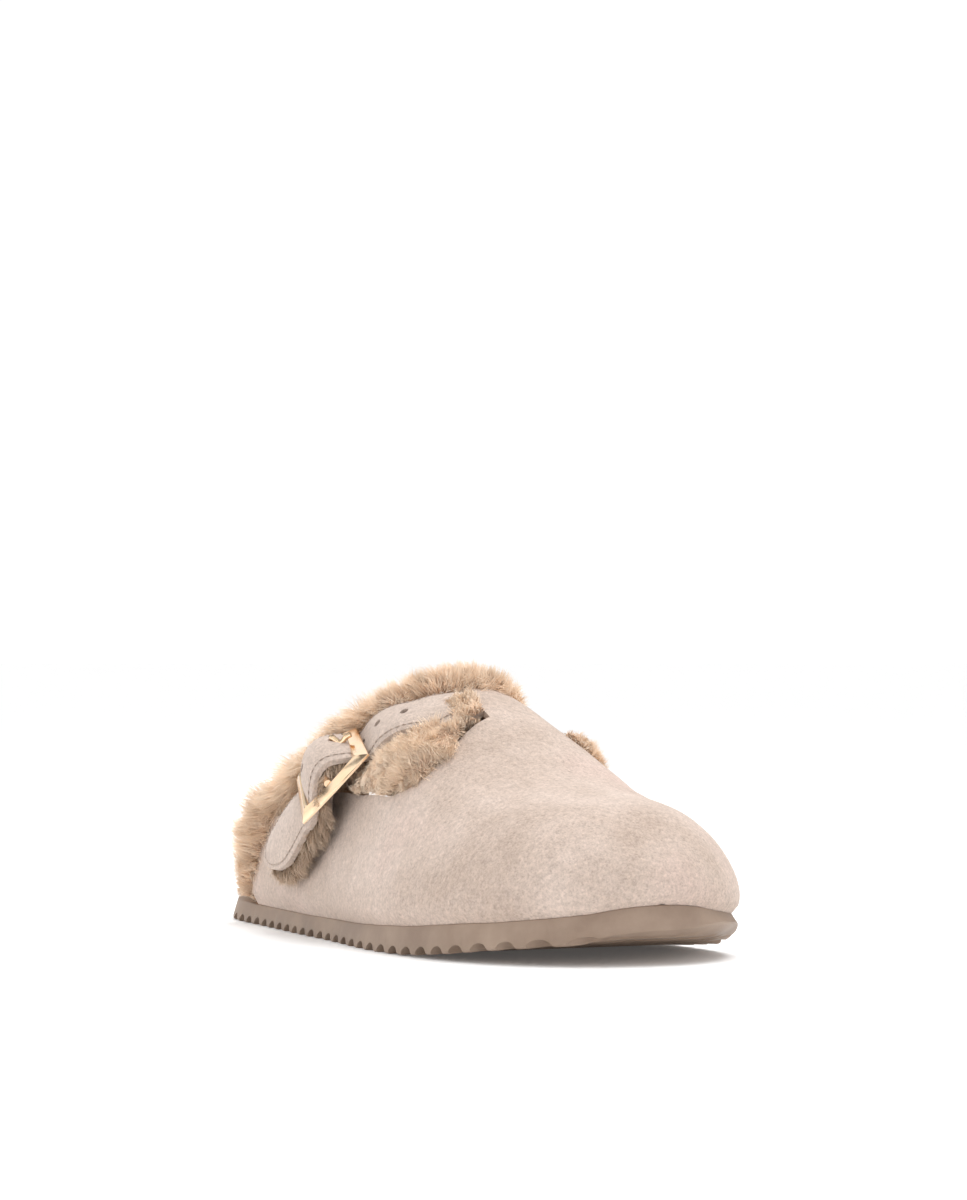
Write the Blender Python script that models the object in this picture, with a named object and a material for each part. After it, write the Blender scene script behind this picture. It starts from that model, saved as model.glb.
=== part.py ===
# Clog slipper for the right foot: suede upper lined with long fur, strap with a
# buckle on the outer side, open heel, thin moulded sole with cross ribs.
# Metres. +Z is up, the toe points to -Y and the outer side of the foot to -X.
# "along" runs from the heel (0) to the toe (1) as a share of the sole's length,
# "across" from the outer base of the upper (-1) over its ridge (0) to the inner base (1).
import math
import random

import bmesh
import bpy
from mathutils import Vector
from mathutils.bvhtree import BVHTree

# Sole and last
SOLE_LENGTH = 0.262
BALL_WIDTH = 0.096
INSTEP_HEIGHT = 0.081
TOE_SPRING = 0.0072
HEEL_LIFT = 0.0016
HEEL_LIFT_END = 0.12
SIDE_HEIGHT = 0.0088
SIDE_DRAFT = 0.0014
EDGE_ROUND = 0.0012
HEEL_RADIUS = 0.036
TOE_RADIUS = 0.075
TOE_SQUARENESS = 2.15

# Tread: ribs run straight across, lands between rounded grooves
RIB_PITCH = 0.00838
RIB_COUNT = 29
FIRST_GROOVE = 0.0217
GROOVE_WIDTH = 0.0060
GROOVE_DEPTH = 0.0025
BEVEL = 0.0047
BEVEL_RUN = 0.010
ORIGIN_LAND = 12

# Upper
UPPER_WALL = 0.002
UPPER_SEAT = 0.002
NOSE_LENGTH = 0.030
NOSE_SQUARENESS = 2.6
BELLY = 0.003
BELLY_HEIGHT = 0.026
CLEARANCE = 0.0003

# Footbed
FOOTBED_EDGE = 0.0048
FOOTBED_THICKNESS = 0.0052
FOOTBED_RIM = 0.0038
HEEL_CUP = 0.0065

# Strap and buckle
STRAP_THICKNESS = 0.0022
HOLE_RADIUS = 0.0016
HOLE_PITCH = 0.0094
HOLE_FROM_BAR = 0.0066
BUCKLE_LENGTH = 0.0290
BUCKLE_WIDTH = 0.0315
BUCKLE_SIDE_BAR = 0.0034
BUCKLE_END_BAR = 0.0046
BUCKLE_HEIGHT = 0.0025
BUCKLE_ARCH = 0.0008
BUCKLE_BULGE = 0.0026
BUCKLE_TILT = 0.0012
CENTRE_BAR_RADIUS = 0.0012
PRONG_RADIUS = 0.0009
TAB_WIDTH = 0.010
TAB_THICKNESS = 0.001
TAB_LENGTH = 0.0225

# Fur
COLLAR_FUR_REACH = 0.011
COLLAR_FUR_OUT = 0.0022
FUR_INNER_DEPTH = 0.0042
SLOT_FUR_BULGE = 0.0042
SLOT_FUR_MARGIN = 0.0009
UNDER_STRAP = -0.0037
COLLAR_GAP = 0.0009
STRAP_FUR_DEPTH = 0.0028
LOCK_LENGTH = 0.0026

# The last's sections. centre and half are shares of the ball width (centre is
# positive towards the outer side), ridge is a share of the instep height.
LAST = [
    # along, centre, half, ridge
    (0.00, -0.005, 0.345, 0.741),
    (0.10, -0.006, 0.350, 0.790),
    (0.20, 0.000, 0.369, 0.845),
    (0.32, 0.024, 0.379, 0.914),
    (0.45, 0.047, 0.391, 0.985),
    (0.52, 0.046, 0.412, 1.000),
    (0.58, 0.042, 0.438, 0.973),
    (0.66, 0.027, 0.474, 0.858),
    (0.72, 0.013, 0.490, 0.747),
    (0.78, 0.003, 0.498, 0.652),
    (0.84, -0.007, 0.514, 0.599),
    (0.90, -0.020, 0.528, 0.570),
    (0.95, -0.027, 0.540, 0.549),
    (1.00, -0.040, 0.540, 0.519),
]
# Rise of the tread's lands towards the toe: along, share of TOE_SPRING
SPRING = [
    (0.68, 0.0), (0.75, 0.055), (0.818, 0.236), (0.85, 0.347), (0.882, 0.486),
    (0.914, 0.611), (0.946, 0.736), (0.978, 0.875), (1.0, 1.0),
]
# How far the bevel round the toe lifts the side wall's lower edge, as shares of
# BEVEL: along, on the outer side, on the inner side
TOE_BEVEL = [
    (0.84, 0.0, 0.0), (0.90, 0.0, 0.62), (0.94, 0.0, 1.0), (0.974, 0.0, 1.0),
    (0.988, 0.40, 0.86), (1.0, 0.60, 0.60),
]
# Height of the sole's side wall, as a share of SIDE_HEIGHT
SIDE = [
    (0.0, 0.82), (0.25, 0.75), (0.35, 0.75), (0.60, 0.83), (0.69, 0.92), (0.80, 0.98),
    (0.85, 0.97), (0.90, 0.91), (0.95, 0.93), (0.978, 0.98), (1.0, 1.16),
]
# Fullness of the upper's sections: 2 is an ellipse, more is squarer. along, on the
# outer side, on the inner side
FULLNESS = [(0.25, 2.4, 2.2), (0.45, 2.4, 2.0), (0.58, 2.15, 2.15), (0.80, 2.5, 2.5)]
# The back edge of the upper: across, along
COLLAR = [
    (-1.00, 0.192), (-0.90, 0.206), (-0.80, 0.212), (-0.71, 0.224), (-0.60, 0.310),
    (-0.50, 0.412), (-0.42, 0.474), (-0.30, 0.540), (-0.15, 0.578), (0.00, 0.588),
    (0.15, 0.583), (0.35, 0.545), (0.50, 0.460), (0.60, 0.370), (0.70, 0.290), (0.80, 0.240),
    (0.90, 0.210), (1.00, 0.192),
]
# The outer cut-out under the strap: the vamp's edge and, paired with it, the
# collar side of the opening (across, along each)
OUTER_OPENING = [
    # edge across, edge along, back across, back along, share in front of the strap
    (-0.735, 0.228, -0.745, 0.205, 0.0),
    (-0.735, 0.250, -0.715, 0.205, 0.0),
    (-0.730, 0.300, -0.680, 0.215, 0.0),
    (-0.724, 0.360, -0.640, 0.245, 0.0),
    (-0.720, 0.420, -0.600, 0.285, 0.0),
    (-0.712, 0.480, -0.560, 0.330, 0.0),
    (-0.700, 0.540, -0.510, 0.375, 0.0),
    (-0.662, 0.592, -0.450, 0.420, 0.22),
    (-0.610, 0.642, -0.400, 0.460, 0.36),
    (-0.530, 0.678, -0.350, 0.490, 0.42),
    (-0.430, 0.692, -0.300, 0.510, 0.38),
    (-0.330, 0.690, -0.250, 0.535, 0.25),
    (-0.230, 0.677, -0.190, 0.550, 0.16),
    (-0.130, 0.664, -0.120, 0.556, 0.06),
    (-0.055, 0.656, -0.055, 0.560, 0.0),
]
# The inner cut-out, a closed slot between the vamp and the inner strap
INNER_SLOT = [
    # vamp across, vamp along, strap across, strap along, share shown
    (0.260, 0.662, 0.258, 0.655, 1.0),
    (0.320, 0.682, 0.310, 0.646, 1.0),
    (0.410, 0.693, 0.390, 0.638, 1.0),
    (0.510, 0.684, 0.470, 0.624, 1.0),
    (0.590, 0.656, 0.540, 0.602, 1.0),
    (0.645, 0.612, 0.605, 0.576, 1.0),
    (0.662, 0.574, 0.655, 0.566, 1.0),
]
# The strap's two edges from the instep to its tip, as places on the upper and how far
# the strap's underside stands off them
STRAP = [
    # back across, back along, back lift, front across, front along, front lift
    (-0.062, 0.589, -0.0016, -0.062, 0.641, -0.0016),
    (-0.129, 0.584, -0.0014, -0.129, 0.644, -0.0014),
    (-0.254, 0.569, -0.0007, -0.254, 0.644, -0.0008),
    (-0.371, 0.521, -0.0002, -0.446, 0.599, 0.0019),
    (-0.454, 0.490, -0.0004, -0.529, 0.573, 0.0020),
    (-0.504, 0.472, 0.0002, -0.571, 0.558, 0.0030),
    (-0.529, 0.461, 0.0026, -0.604, 0.547, 0.0058),
    (-0.582, 0.448, 0.0060, -0.654, 0.532, 0.0094),
    (-0.632, 0.446, 0.0070, -0.712, 0.529, 0.0100),
    (-0.690, 0.420, 0.0058, -0.787, 0.499, 0.0080),
    (-0.768, 0.362, 0.0062, -0.880, 0.446, 0.0062),
    (-0.862, 0.310, 0.0060, -0.945, 0.396, 0.0052),
]
STRAP_CROWN = 0.0012

# Finishes
FINISHES = {
    # colour, roughness, metallic
    "suede": ((0.56, 0.47, 0.42), 0.95, 0.0),
    "fur": ((0.58, 0.44, 0.31), 0.9, 0.0),
    "sole": ((0.36, 0.29, 0.235), 0.6, 0.0),
    "gold": ((0.83, 0.60, 0.36), 0.22, 1.0),
}


def smooth(table, at, column=1):
    """The table's column at a place, on a smooth curve that never overshoots a row."""
    keys = [row[0] for row in table]
    values = [row[column] for row in table]
    if at <= keys[0]:
        return values[0]
    if at >= keys[-1]:
        return values[-1]
    slopes = [(values[i + 1] - values[i]) / (keys[i + 1] - keys[i]) for i in range(len(keys) - 1)]
    i = max(k for k in range(len(keys) - 1) if keys[k] <= at)

    def tangent(k):
        if k in (0, len(keys) - 1):
            return slopes[0] if k == 0 else slopes[-1]
        before, after = slopes[k - 1], slopes[k]
        if before * after <= 0:
            return 0.0
        near, far = keys[k] - keys[k - 1], keys[k + 1] - keys[k]
        return (near + far) * 1.5 / ((near + 2 * far) / 2 / before + (2 * near + far) / 2 / after)

    step = keys[i + 1] - keys[i]
    t = (at - keys[i]) / step
    return (
        (2 * t**3 - 3 * t**2 + 1) * values[i]
        + (t**3 - 2 * t**2 + t) * step * tangent(i)
        + (3 * t**2 - 2 * t**3) * values[i + 1]
        + (t**3 - t**2) * step * tangent(i + 1)
    )


def rounded_end(distance, radius, squareness):
    """1 beyond the end's radius, falling on a rounded curve to 0 at the end itself."""
    rest = min(max(1 - distance / radius, 0.0), 1.0)
    return (1 - rest**squareness) ** (1 / squareness)


def toe_to_heel(along):
    """Y of a place along the sole. The origin is on the land next to mid length."""
    origin = FIRST_GROOVE + (ORIGIN_LAND + 0.5) * RIB_PITCH
    return origin - along * SOLE_LENGTH


def sole_bottom(along):
    heel = max(HEEL_LIFT_END - along, 0) / HEEL_LIFT_END
    return TOE_SPRING * smooth(SPRING, along) + HEEL_LIFT * heel**2


def sole_top(along):
    return sole_bottom(along) + SIDE_HEIGHT * smooth(SIDE, along)


def half_width(along, inset):
    """Half the plan width at a place, with the rounded heel and toe."""
    ends = rounded_end(along * SOLE_LENGTH, HEEL_RADIUS, 2.0) * rounded_end(
        (1 - along) * SOLE_LENGTH, TOE_RADIUS, TOE_SQUARENESS
    )
    return (smooth(LAST, along, 2) * BALL_WIDTH - inset) * ends


def plan_point(along, side, inset, height):
    """A point of the plan outline, drawn in by inset. side is -1 outer, 1 inner."""
    drawn_in = (inset + along * (SOLE_LENGTH - 2 * inset)) / SOLE_LENGTH
    middle = -smooth(LAST, along) * BALL_WIDTH
    return Vector((middle + side * half_width(along, inset), toe_to_heel(drawn_in), height))


def plan_outward(along, side):
    """The plan outline's outward direction."""
    step = 0.002
    ahead = plan_point(min(along + step, 1), side, 0, 0)
    behind = plan_point(max(along - step, 0), side, 0, 0)
    run = ahead - behind
    return Vector((-run.y * side, run.x * side, 0)).normalized()


def upper_point(along, across, inset=0.0):
    """A point of the upper's outer face, or inset below it in a nested copy of the form."""
    deep = UPPER_SEAT + inset
    drawn_in = (deep + along * (SOLE_LENGTH - 2 * deep)) / SOLE_LENGTH
    angle = (1 - abs(across)) * math.pi / 2
    fullness = smooth(FULLNESS, along, 1 if across < 0 else 2)
    out = max(math.cos(angle), 0.0) ** (2 / fullness)
    up = max(math.sin(angle), 0.0) ** (2 / fullness)
    base = sole_top(along) + CLEARANCE
    ridge = smooth(LAST, along, 3) * INSTEP_HEIGHT - inset
    rise = (ridge - base) * rounded_end((1 - along) * SOLE_LENGTH, NOSE_LENGTH, NOSE_SQUARENESS)
    side = -1 if across < 0 else 1
    middle = -smooth(LAST, along) * BALL_WIDTH
    x = middle + side * half_width(along, deep) * out
    height = rise * up
    # The upper bellies out over the sole's edge
    swell = BELLY * math.sin(math.pi * min(height / BELLY_HEIGHT, 1) ** 0.55)
    outer_share = (1 - across) / 2
    outward = plan_outward(along, -1) * outer_share + plan_outward(along, 1) * (1 - outer_share)
    return Vector((x, toe_to_heel(drawn_in), base + height)) + outward * swell


def upper_normal(along, across):
    step = 0.004
    here = upper_point(along, across)
    forward = upper_point(along + step, across) - here
    over = upper_point(along, across + step) - here
    return forward.cross(over).normalized()


def lifted(along, across, lift):
    """A point above the upper's outer face (negative is below it)."""
    if lift < 0:
        return upper_point(along, across, -lift)
    return upper_point(along, across) + upper_normal(along, across) * lift


def finish(name):
    colour, roughness, metallic = FINISHES[name]
    material = bpy.data.materials.get(name) or bpy.data.materials.new(name)
    material.use_nodes = True
    shader = material.node_tree.nodes["Principled BSDF"]
    shader.inputs["Base Color"].default_value = (*colour, 1)
    shader.inputs["Roughness"].default_value = roughness
    shader.inputs["Metallic"].default_value = metallic
    return material


def piece_from(bm, name, material, collection, smooth_below=40):
    """The bmesh as an object of its own, its normals facing out."""
    bmesh.ops.remove_doubles(bm, verts=bm.verts, dist=0.000001)
    bmesh.ops.recalc_face_normals(bm, faces=bm.faces)
    # Twisted quads are split, so that the cuts leave no flaps
    bmesh.ops.triangulate(bm, faces=bm.faces)
    mesh = bpy.data.meshes.new(name)
    bm.to_mesh(mesh)
    bm.free()
    mesh.shade_smooth()
    mesh.set_sharp_from_angle(angle=math.radians(smooth_below))
    mesh.materials.append(finish(material))
    obj = bpy.data.objects.new(name, mesh)
    collection.objects.link(obj)
    return obj


def cut(obj, cutter):
    """Takes the cutter away from the object, for good."""
    modifier = obj.modifiers.new("cut", "BOOLEAN")
    modifier.operation = "DIFFERENCE"
    modifier.solver = "EXACT"
    modifier.object = cutter
    cutter.hide_render = True
    cutter.display_type = "WIRE"


def bridge(bm, first, second):
    """Faces between two rows of vertices of the same length."""
    for i in range(len(first) - 1):
        corners = []
        for v in (first[i], first[i + 1], second[i + 1], second[i]):
            if v not in corners:
                corners.append(v)
        if len(corners) > 2:
            bm.faces.new(corners)


def slab(bm, place, rows, columns, low, high):
    """A closed curved slab. place(u, v, level) gives a point, level running from
    low to high, and u and v from 0 to 1. Returns the faces of the high side."""
    levels = []
    for level in (low, high):
        grid = []
        for i in range(rows + 1):
            grid.append([bm.verts.new(place(i / rows, j / columns, level)) for j in range(columns + 1)])
        levels.append(grid)
    under, over = levels
    top_faces = []
    for i in range(rows):
        bridge(bm, under[i], under[i + 1])
        before = set(bm.faces)
        bridge(bm, over[i], over[i + 1])
        top_faces += [f for f in bm.faces if f not in before]
    bridge(bm, under[0], over[0])
    bridge(bm, under[-1], over[-1])
    bridge(bm, [row[0] for row in under], [row[0] for row in over])
    bridge(bm, [row[-1] for row in under], [row[-1] for row in over])
    return top_faces


def add_locks(bm, faces, length, comb, seed):
    """Draws each face out to a pointed lock of fur, leaning along comb."""
    draw = random.Random(seed)
    for face in faces:
        reach = length * (0.55 + 0.9 * draw.random())
        lean = comb * (0.5 + draw.random())
        poked = bmesh.ops.poke(bm, faces=[face], offset=0)
        tip = poked["verts"][0]
        tip.co += face_normal_of(poked["faces"]) * reach + lean * length


def face_normal_of(faces):
    total = Vector((0, 0, 0))
    for face in faces:
        face.normal_update()
        total += face.normal * face.calc_area()
    return total.normalized()


def add_plan_solid(bm, levels, stations):
    """A solid between stacked copies of the plan outline, closed by strips across.
    levels holds each copy's inset and its height at (along, side)."""
    shares = [(1 - math.cos(math.pi * i / stations)) / 2 for i in range(stations + 1)]
    sides = []
    for inset, height in levels:
        outer = [bm.verts.new(plan_point(s, -1, inset, height(s, -1))) for s in shares]
        inner = [outer[0]]
        inner += [bm.verts.new(plan_point(s, 1, inset, height(s, 1))) for s in shares[1:-1]]
        inner.append(outer[-1])
        sides.append((outer, inner))
    for (outer_a, inner_a), (outer_b, inner_b) in zip(sides, sides[1:]):
        bridge(bm, outer_a, outer_b)
        bridge(bm, inner_a, inner_b)
    for outer, inner in (sides[0], sides[-1]):
        bridge(bm, outer, inner)


def make_outsole(parts, cutters):
    bm = bmesh.new()

    def edge(along, side):
        return sole_bottom(along) + BEVEL * smooth(TOE_BEVEL, along, 1 if side < 0 else 2)

    def top(along, side):
        return sole_top(along)

    levels = [
        (BEVEL_RUN, lambda s, side: sole_bottom(s)),
        (EDGE_ROUND * 0.6, edge),
        (0.0, lambda s, side: edge(s, side) + EDGE_ROUND * 0.6),
        (SIDE_DRAFT, lambda s, side: sole_top(s) - EDGE_ROUND / 2),
        (SIDE_DRAFT + EDGE_ROUND / 2, top),
    ]
    add_plan_solid(bm, levels, 44)
    outsole = piece_from(bm, "outsole", "sole", parts)

    bm = bmesh.new()
    profile = [(-0.5, 0.0), (-0.34, 0.42), (-0.15, 0.88), (0.0, 1.0), (0.15, 0.88), (0.34, 0.42), (0.5, 0.0)]
    below = 0.003
    for i in range(RIB_COUNT):
        place = (FIRST_GROOVE + i * RIB_PITCH) / SOLE_LENGTH
        floor = sole_bottom(place)
        rows = []
        for side in (-1, 1):
            x = side * BALL_WIDTH
            y = toe_to_heel(place)
            row = [bm.verts.new((x, y - w * GROOVE_WIDTH, floor + h * GROOVE_DEPTH)) for w, h in profile]
            row.insert(0, bm.verts.new((x, y + GROOVE_WIDTH / 2, floor - below)))
            row.append(bm.verts.new((x, y - GROOVE_WIDTH / 2, floor - below)))
            rows.append(row)
        outer, inner = rows
        bridge(bm, outer + outer[:1], inner + inner[:1])
        bm.faces.new(outer)
        bm.faces.new(inner)
    grooves = piece_from(bm, "groove_cutter", "sole", cutters)
    cut(outsole, grooves)
    return outsole


def make_insole(parts):
    bm = bmesh.new()

    def seat(along, side):
        return sole_top(along) + CLEARANCE

    def bed(along, rim):
        heel = max(0.30 - along, 0) / 0.30
        return seat(along, 0) + FOOTBED_THICKNESS + rim * (FOOTBED_RIM + HEEL_CUP * heel**1.4)

    levels = [
        (FOOTBED_EDGE, seat),
        (FOOTBED_EDGE, lambda s, side: bed(s, 1) - 0.0012),
        (FOOTBED_EDGE + 0.0015, lambda s, side: bed(s, 1)),
        (FOOTBED_EDGE + 0.0075, lambda s, side: bed(s, 0.35)),
        (FOOTBED_EDGE + 0.0150, lambda s, side: bed(s, 0)),
    ]
    add_plan_solid(bm, levels, 34)
    return piece_from(bm, "insole", "fur", parts)


def make_upper(parts, cutters):
    bm = bmesh.new()
    rows, columns = 30, 26
    skins = []
    for inset in (0.0, UPPER_WALL):
        grid = []
        toe = bm.verts.new(upper_point(1.0, 0.0, inset))
        for i in range(rows + 1):
            across = -1 + 2 * i / rows
            back = smooth(COLLAR, across)
            line = []
            for j in range(columns):
                share = math.sin(math.pi / 2 * j / columns) ** 0.9
                line.append(bm.verts.new(upper_point(back + (1 - back) * share, across, inset)))
            grid.append(line + [toe])
        skins.append(grid)
    for grid in skins:
        for i in range(rows):
            bridge(bm, grid[i], grid[i + 1])
    face, lining = skins
    bridge(bm, [line[0] for line in face], [line[0] for line in lining])
    bridge(bm, face[0], lining[0])
    bridge(bm, face[-1], lining[-1])
    upper = piece_from(bm, "upper", "suede", parts)

    openings = (("outer_opening_cutter", OUTER_OPENING, 30), ("inner_slot_cutter", INNER_SLOT, 18))
    for name, table, steps in openings:
        bm = bmesh.new()

        def through(u, v, lift, table=table):
            return opening_point(table, u, v, lift)

        slab(bm, through, steps, 8, -0.008, 0.004)
        cut(upper, piece_from(bm, name, "suede", cutters))
    return upper


def opening_place(table, u, v):
    """(across, along) in a cut-out: u runs along its edges, v from the vamp to the back."""
    rows = [(i, *row) for i, row in enumerate(table)]
    at = u * (len(table) - 1)
    edge_across, edge_along = smooth(rows, at, 1), smooth(rows, at, 2)
    back_across, back_along = smooth(rows, at, 3), smooth(rows, at, 4)
    return edge_across + (back_across - edge_across) * v, edge_along + (back_along - edge_along) * v


def opening_point(table, u, v, lift):
    across, along = opening_place(table, u, v)
    return lifted(along, across, lift)


def outer_face():
    """A search tree of the upper's outer face, for how far things stand off it."""
    rows, columns = 80, 80
    points, faces = [], []
    for i in range(rows + 1):
        for j in range(columns + 1):
            points.append(upper_point(0.1 + 0.7 * j / columns, -0.99 + 1.0 * i / rows))
    for i in range(rows):
        for j in range(columns):
            corner = i * (columns + 1) + j
            faces.append((corner, corner + 1, corner + columns + 2, corner + columns + 1))
    return BVHTree.FromPolygons(points, faces)


OUTER_FACE = outer_face()


def stand_off(point, outward):
    """How far a point stands out from the upper's outer face, negative inside it."""
    nearest, _, _, distance = OUTER_FACE.find_nearest(point)
    return math.copysign(distance, (point - nearest).dot(outward))


def strap_frames():
    """(run, middle, along the strap, out, across, half width) down the strap's underside."""
    rows = [(i, *row) for i, row in enumerate(STRAP)]

    def edges(at):
        back, front = (
            lifted(smooth(rows, at, c + 1), smooth(rows, at, c), smooth(rows, at, c + 2)) for c in (1, 4)
        )
        return back, front

    count = 150
    frames = []
    run = 0.0
    before = None
    for k in range(count + 1):
        at = k / count * (len(STRAP) - 1)
        back, front = edges(at)
        middle = (back + front) / 2
        ahead, behind = edges(min(at + 0.1, len(STRAP) - 1)), edges(max(at - 0.1, 0))
        down = sum(ahead, Vector()) - sum(behind, Vector())
        side = (front - back).normalized()
        down = (down - side * down.dot(side)).normalized()
        if before is not None:
            run += (middle - before).length
        before = middle
        frames.append((run, middle, down, down.cross(side), side, (front - back).length / 2))
    return frames


FRAMES = strap_frames()
STRAP_LENGTH = FRAMES[-1][0]
# Distances down the strap at which it passes under the buckle's upper and lower bar
BUCKLE_FROM = STRAP_LENGTH * 0.372
BUCKLE_TO = BUCKLE_FROM + 0.0312


def strap_frame(run):
    """(middle, down, out, side, half width) at a distance from the strap's root."""
    if run >= STRAP_LENGTH:
        _, point, down, out, side, half = FRAMES[-1]
        return point + down * (run - STRAP_LENGTH), down, out, side, half
    i = max(k for k in range(len(FRAMES) - 1) if FRAMES[k][0] <= max(run, 0))
    a, b = FRAMES[i], FRAMES[i + 1]
    t = (run - a[0]) / (b[0] - a[0])
    point, down, out, side = (a[k].lerp(b[k], t) for k in (1, 2, 3, 4))
    return point, down.normalized(), out.normalized(), side.normalized(), a[5] + (b[5] - a[5]) * t


def on_strap(run, side, height):
    """A point across and above the strap's underside, which is crowned across its width."""
    point, _, out, across, half = strap_frame(run)
    crown = STRAP_CROWN * (1 - (side / half) ** 2)
    return point + across * side + out * (height + crown)


TIP_RADIUS = 0.0126


def strap_half(run):
    """Half the strap's width, rounded off at its tip."""
    half = strap_frame(run)[4]
    left = STRAP_LENGTH - run
    if left >= TIP_RADIUS:
        return half
    return half * math.sqrt(max(1 - (1 - left / TIP_RADIUS) ** 2, 0.0))


def make_strap(parts, cutters):
    bm = bmesh.new()
    steps, columns = 36, 4

    def runs(u):
        return STRAP_LENGTH * math.sin(math.pi / 2 * u) ** 1.0

    def place(u, v, level):
        run = runs(u)
        side = (v * 2 - 1) * strap_half(run)
        return on_strap(run, side, level)

    slab(bm, place, steps, columns, 0.0, STRAP_THICKNESS)
    strap = piece_from(bm, "strap", "suede", parts)
    for k in range(5):
        run = PRONG_HOLE + (k - 3) * HOLE_PITCH
        out = strap_frame(run)[2]
        bm = bmesh.new()
        bmesh.ops.create_cone(
            bm, cap_ends=True, segments=8, radius1=HOLE_RADIUS, radius2=HOLE_RADIUS, depth=0.012
        )
        turn = out.to_track_quat("Z", "Y").to_matrix().to_4x4()
        bmesh.ops.transform(bm, matrix=turn, verts=bm.verts)
        bmesh.ops.translate(bm, vec=on_strap(run, 0, STRAP_THICKNESS / 2), verts=bm.verts)
        cut(strap, piece_from(bm, f"hole_cutter_{k}", "suede", cutters))
    return strap


def buckle_axes(p):
    """(place on the buckle's middle line, up it, out, across) at p up from its centre.
    The line joins the strap's underside below the two end bars."""
    upper, _, out_upper, side_upper, _ = strap_frame(BUCKLE_FROM)
    lower, _, out_lower, side_lower, _ = strap_frame(BUCKLE_TO)
    up = (upper - lower).normalized()
    t = 0.5 - p / BUCKLE_LENGTH
    side = side_upper.lerp(side_lower, t).normalized()
    out = side.cross(up).normalized()
    if out.dot(out_upper) < 0:
        out = -out
    return (upper + lower) / 2 + up * p, up, out, side


def buckle_point(p, w, height):
    middle, _, out, side = buckle_axes(p)
    return middle + side * w + out * height


def strap_under(p):
    """(distance down the strap, height, offset across) where the strap passes p."""
    middle, up, out, side = buckle_axes(p)
    low, high = BUCKLE_FROM - 0.03, BUCKLE_TO + 0.03
    for _ in range(30):
        run = (low + high) / 2
        if (on_strap(run, 0, 0) - middle).dot(up) > 0:
            low = run
        else:
            high = run
    away = on_strap(run, 0, 0) - middle
    return run, away.dot(out), away.dot(side)


PRONG_HOLE = strap_under(HOLE_FROM_BAR)[0]
# The bar lies under the strap, with the tab's fold between them
CENTRE_BAR_LIFT = strap_under(0)[1] - CENTRE_BAR_RADIUS - TAB_THICKNESS - 4.5 * CLEARANCE


def buckle_floor(p):
    """Underside of the frame, just above the strap where the end bars cross it."""
    ends = STRAP_CROWN + STRAP_THICKNESS + 0.0020 + BUCKLE_TILT * (0.5 - p / BUCKLE_LENGTH)
    return ends + BUCKLE_ARCH * (1 - (2 * p / BUCKLE_LENGTH) ** 2)


def make_buckle(parts, cutters):
    bm = bmesh.new()
    half_long, half_wide = BUCKLE_LENGTH / 2, BUCKLE_WIDTH / 2
    # The bar's section: share from its inner to its outer edge, share of its height
    section = [(0.0, 0.0), (0.0, 0.72), (0.26, 1.0), (1.0, 0.30), (1.0, 0.0)]
    corners = [(1, 1), (1, -1), (-1, -1), (-1, 1)]
    per_side = 10
    loops = []
    for across_bar, height in section:
        loop = []
        long = half_long - BUCKLE_END_BAR * (1 - across_bar)
        wide = half_wide - BUCKLE_SIDE_BAR * (1 - across_bar)
        for (p0, w0), (p1, w1) in zip(corners, corners[1:] + corners[:1]):
            for k in range(per_side):
                t = k / per_side
                p, w = (p0 + (p1 - p0) * t) * long, (w0 + (w1 - w0) * t) * wide
                if abs(w) > wide * 0.999:
                    w += math.copysign(BUCKLE_BULGE * (1 - (p / long) ** 2), w)
                lift = buckle_floor(p) + height * BUCKLE_HEIGHT
                if height == 0.0 and across_bar == 0.0:
                    # Lugs at mid length carry the centre bar
                    lug = math.exp(-((p / 0.0022) ** 2))
                    lift += (CENTRE_BAR_LIFT - CENTRE_BAR_RADIUS - 0.0002 - lift) * lug
                loop.append(bm.verts.new(buckle_point(p, w, lift)))
        loops.append(loop)
    for first, second in zip(loops, loops[1:] + loops[:1]):
        bridge(bm, first + first[:1], second + second[:1])
    frame = piece_from(bm, "buckle_frame", "gold", parts, 25)

    bm = bmesh.new()
    reach = half_wide + BUCKLE_BULGE - BUCKLE_SIDE_BAR * 0.8
    add_tube(bm, [buckle_point(0, -reach, CENTRE_BAR_LIFT), buckle_point(0, reach, CENTRE_BAR_LIFT)],
             CENTRE_BAR_RADIUS, 10)
    bar = piece_from(bm, "centre_bar_form", "gold", cutters)
    bar.hide_render = True
    bar.display_type = "WIRE"
    joined = frame.modifiers.new("centre bar", "BOOLEAN")
    joined.operation = "UNION"
    joined.solver = "EXACT"
    joined.object = bar

    # The prong leaves the centre bar under the strap, comes up through a hole and
    # rests on the upper end bar
    bm = bmesh.new()
    rest = half_long - BUCKLE_END_BAR * 0.74
    bar_top = buckle_floor(rest) + BUCKLE_HEIGHT
    aside = strap_under(HOLE_FROM_BAR)[2]
    out = strap_frame(PRONG_HOLE)[2]
    hole = on_strap(PRONG_HOLE, 0, STRAP_THICKNESS / 2)
    reach = STRAP_THICKNESS / 2 + PRONG_RADIUS
    route = [
        buckle_point(CENTRE_BAR_RADIUS + PRONG_RADIUS + CLEARANCE, aside, CENTRE_BAR_LIFT),
        on_strap(PRONG_HOLE + 0.0030, 0, -PRONG_RADIUS - 2 * CLEARANCE),
        hole - out * reach,
        hole + out * reach,
        buckle_point(rest - 0.0018, aside, bar_top + PRONG_RADIUS + 2.6 * CLEARANCE),
        buckle_point(rest + 0.0008, aside, bar_top + PRONG_RADIUS + 2.6 * CLEARANCE),
        buckle_point(rest + 0.0026, aside, bar_top + PRONG_RADIUS + CLEARANCE),
    ]
    add_tube(bm, route, PRONG_RADIUS, 8)
    piece_from(bm, "buckle_prong", "gold", parts)
    return frame


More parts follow.
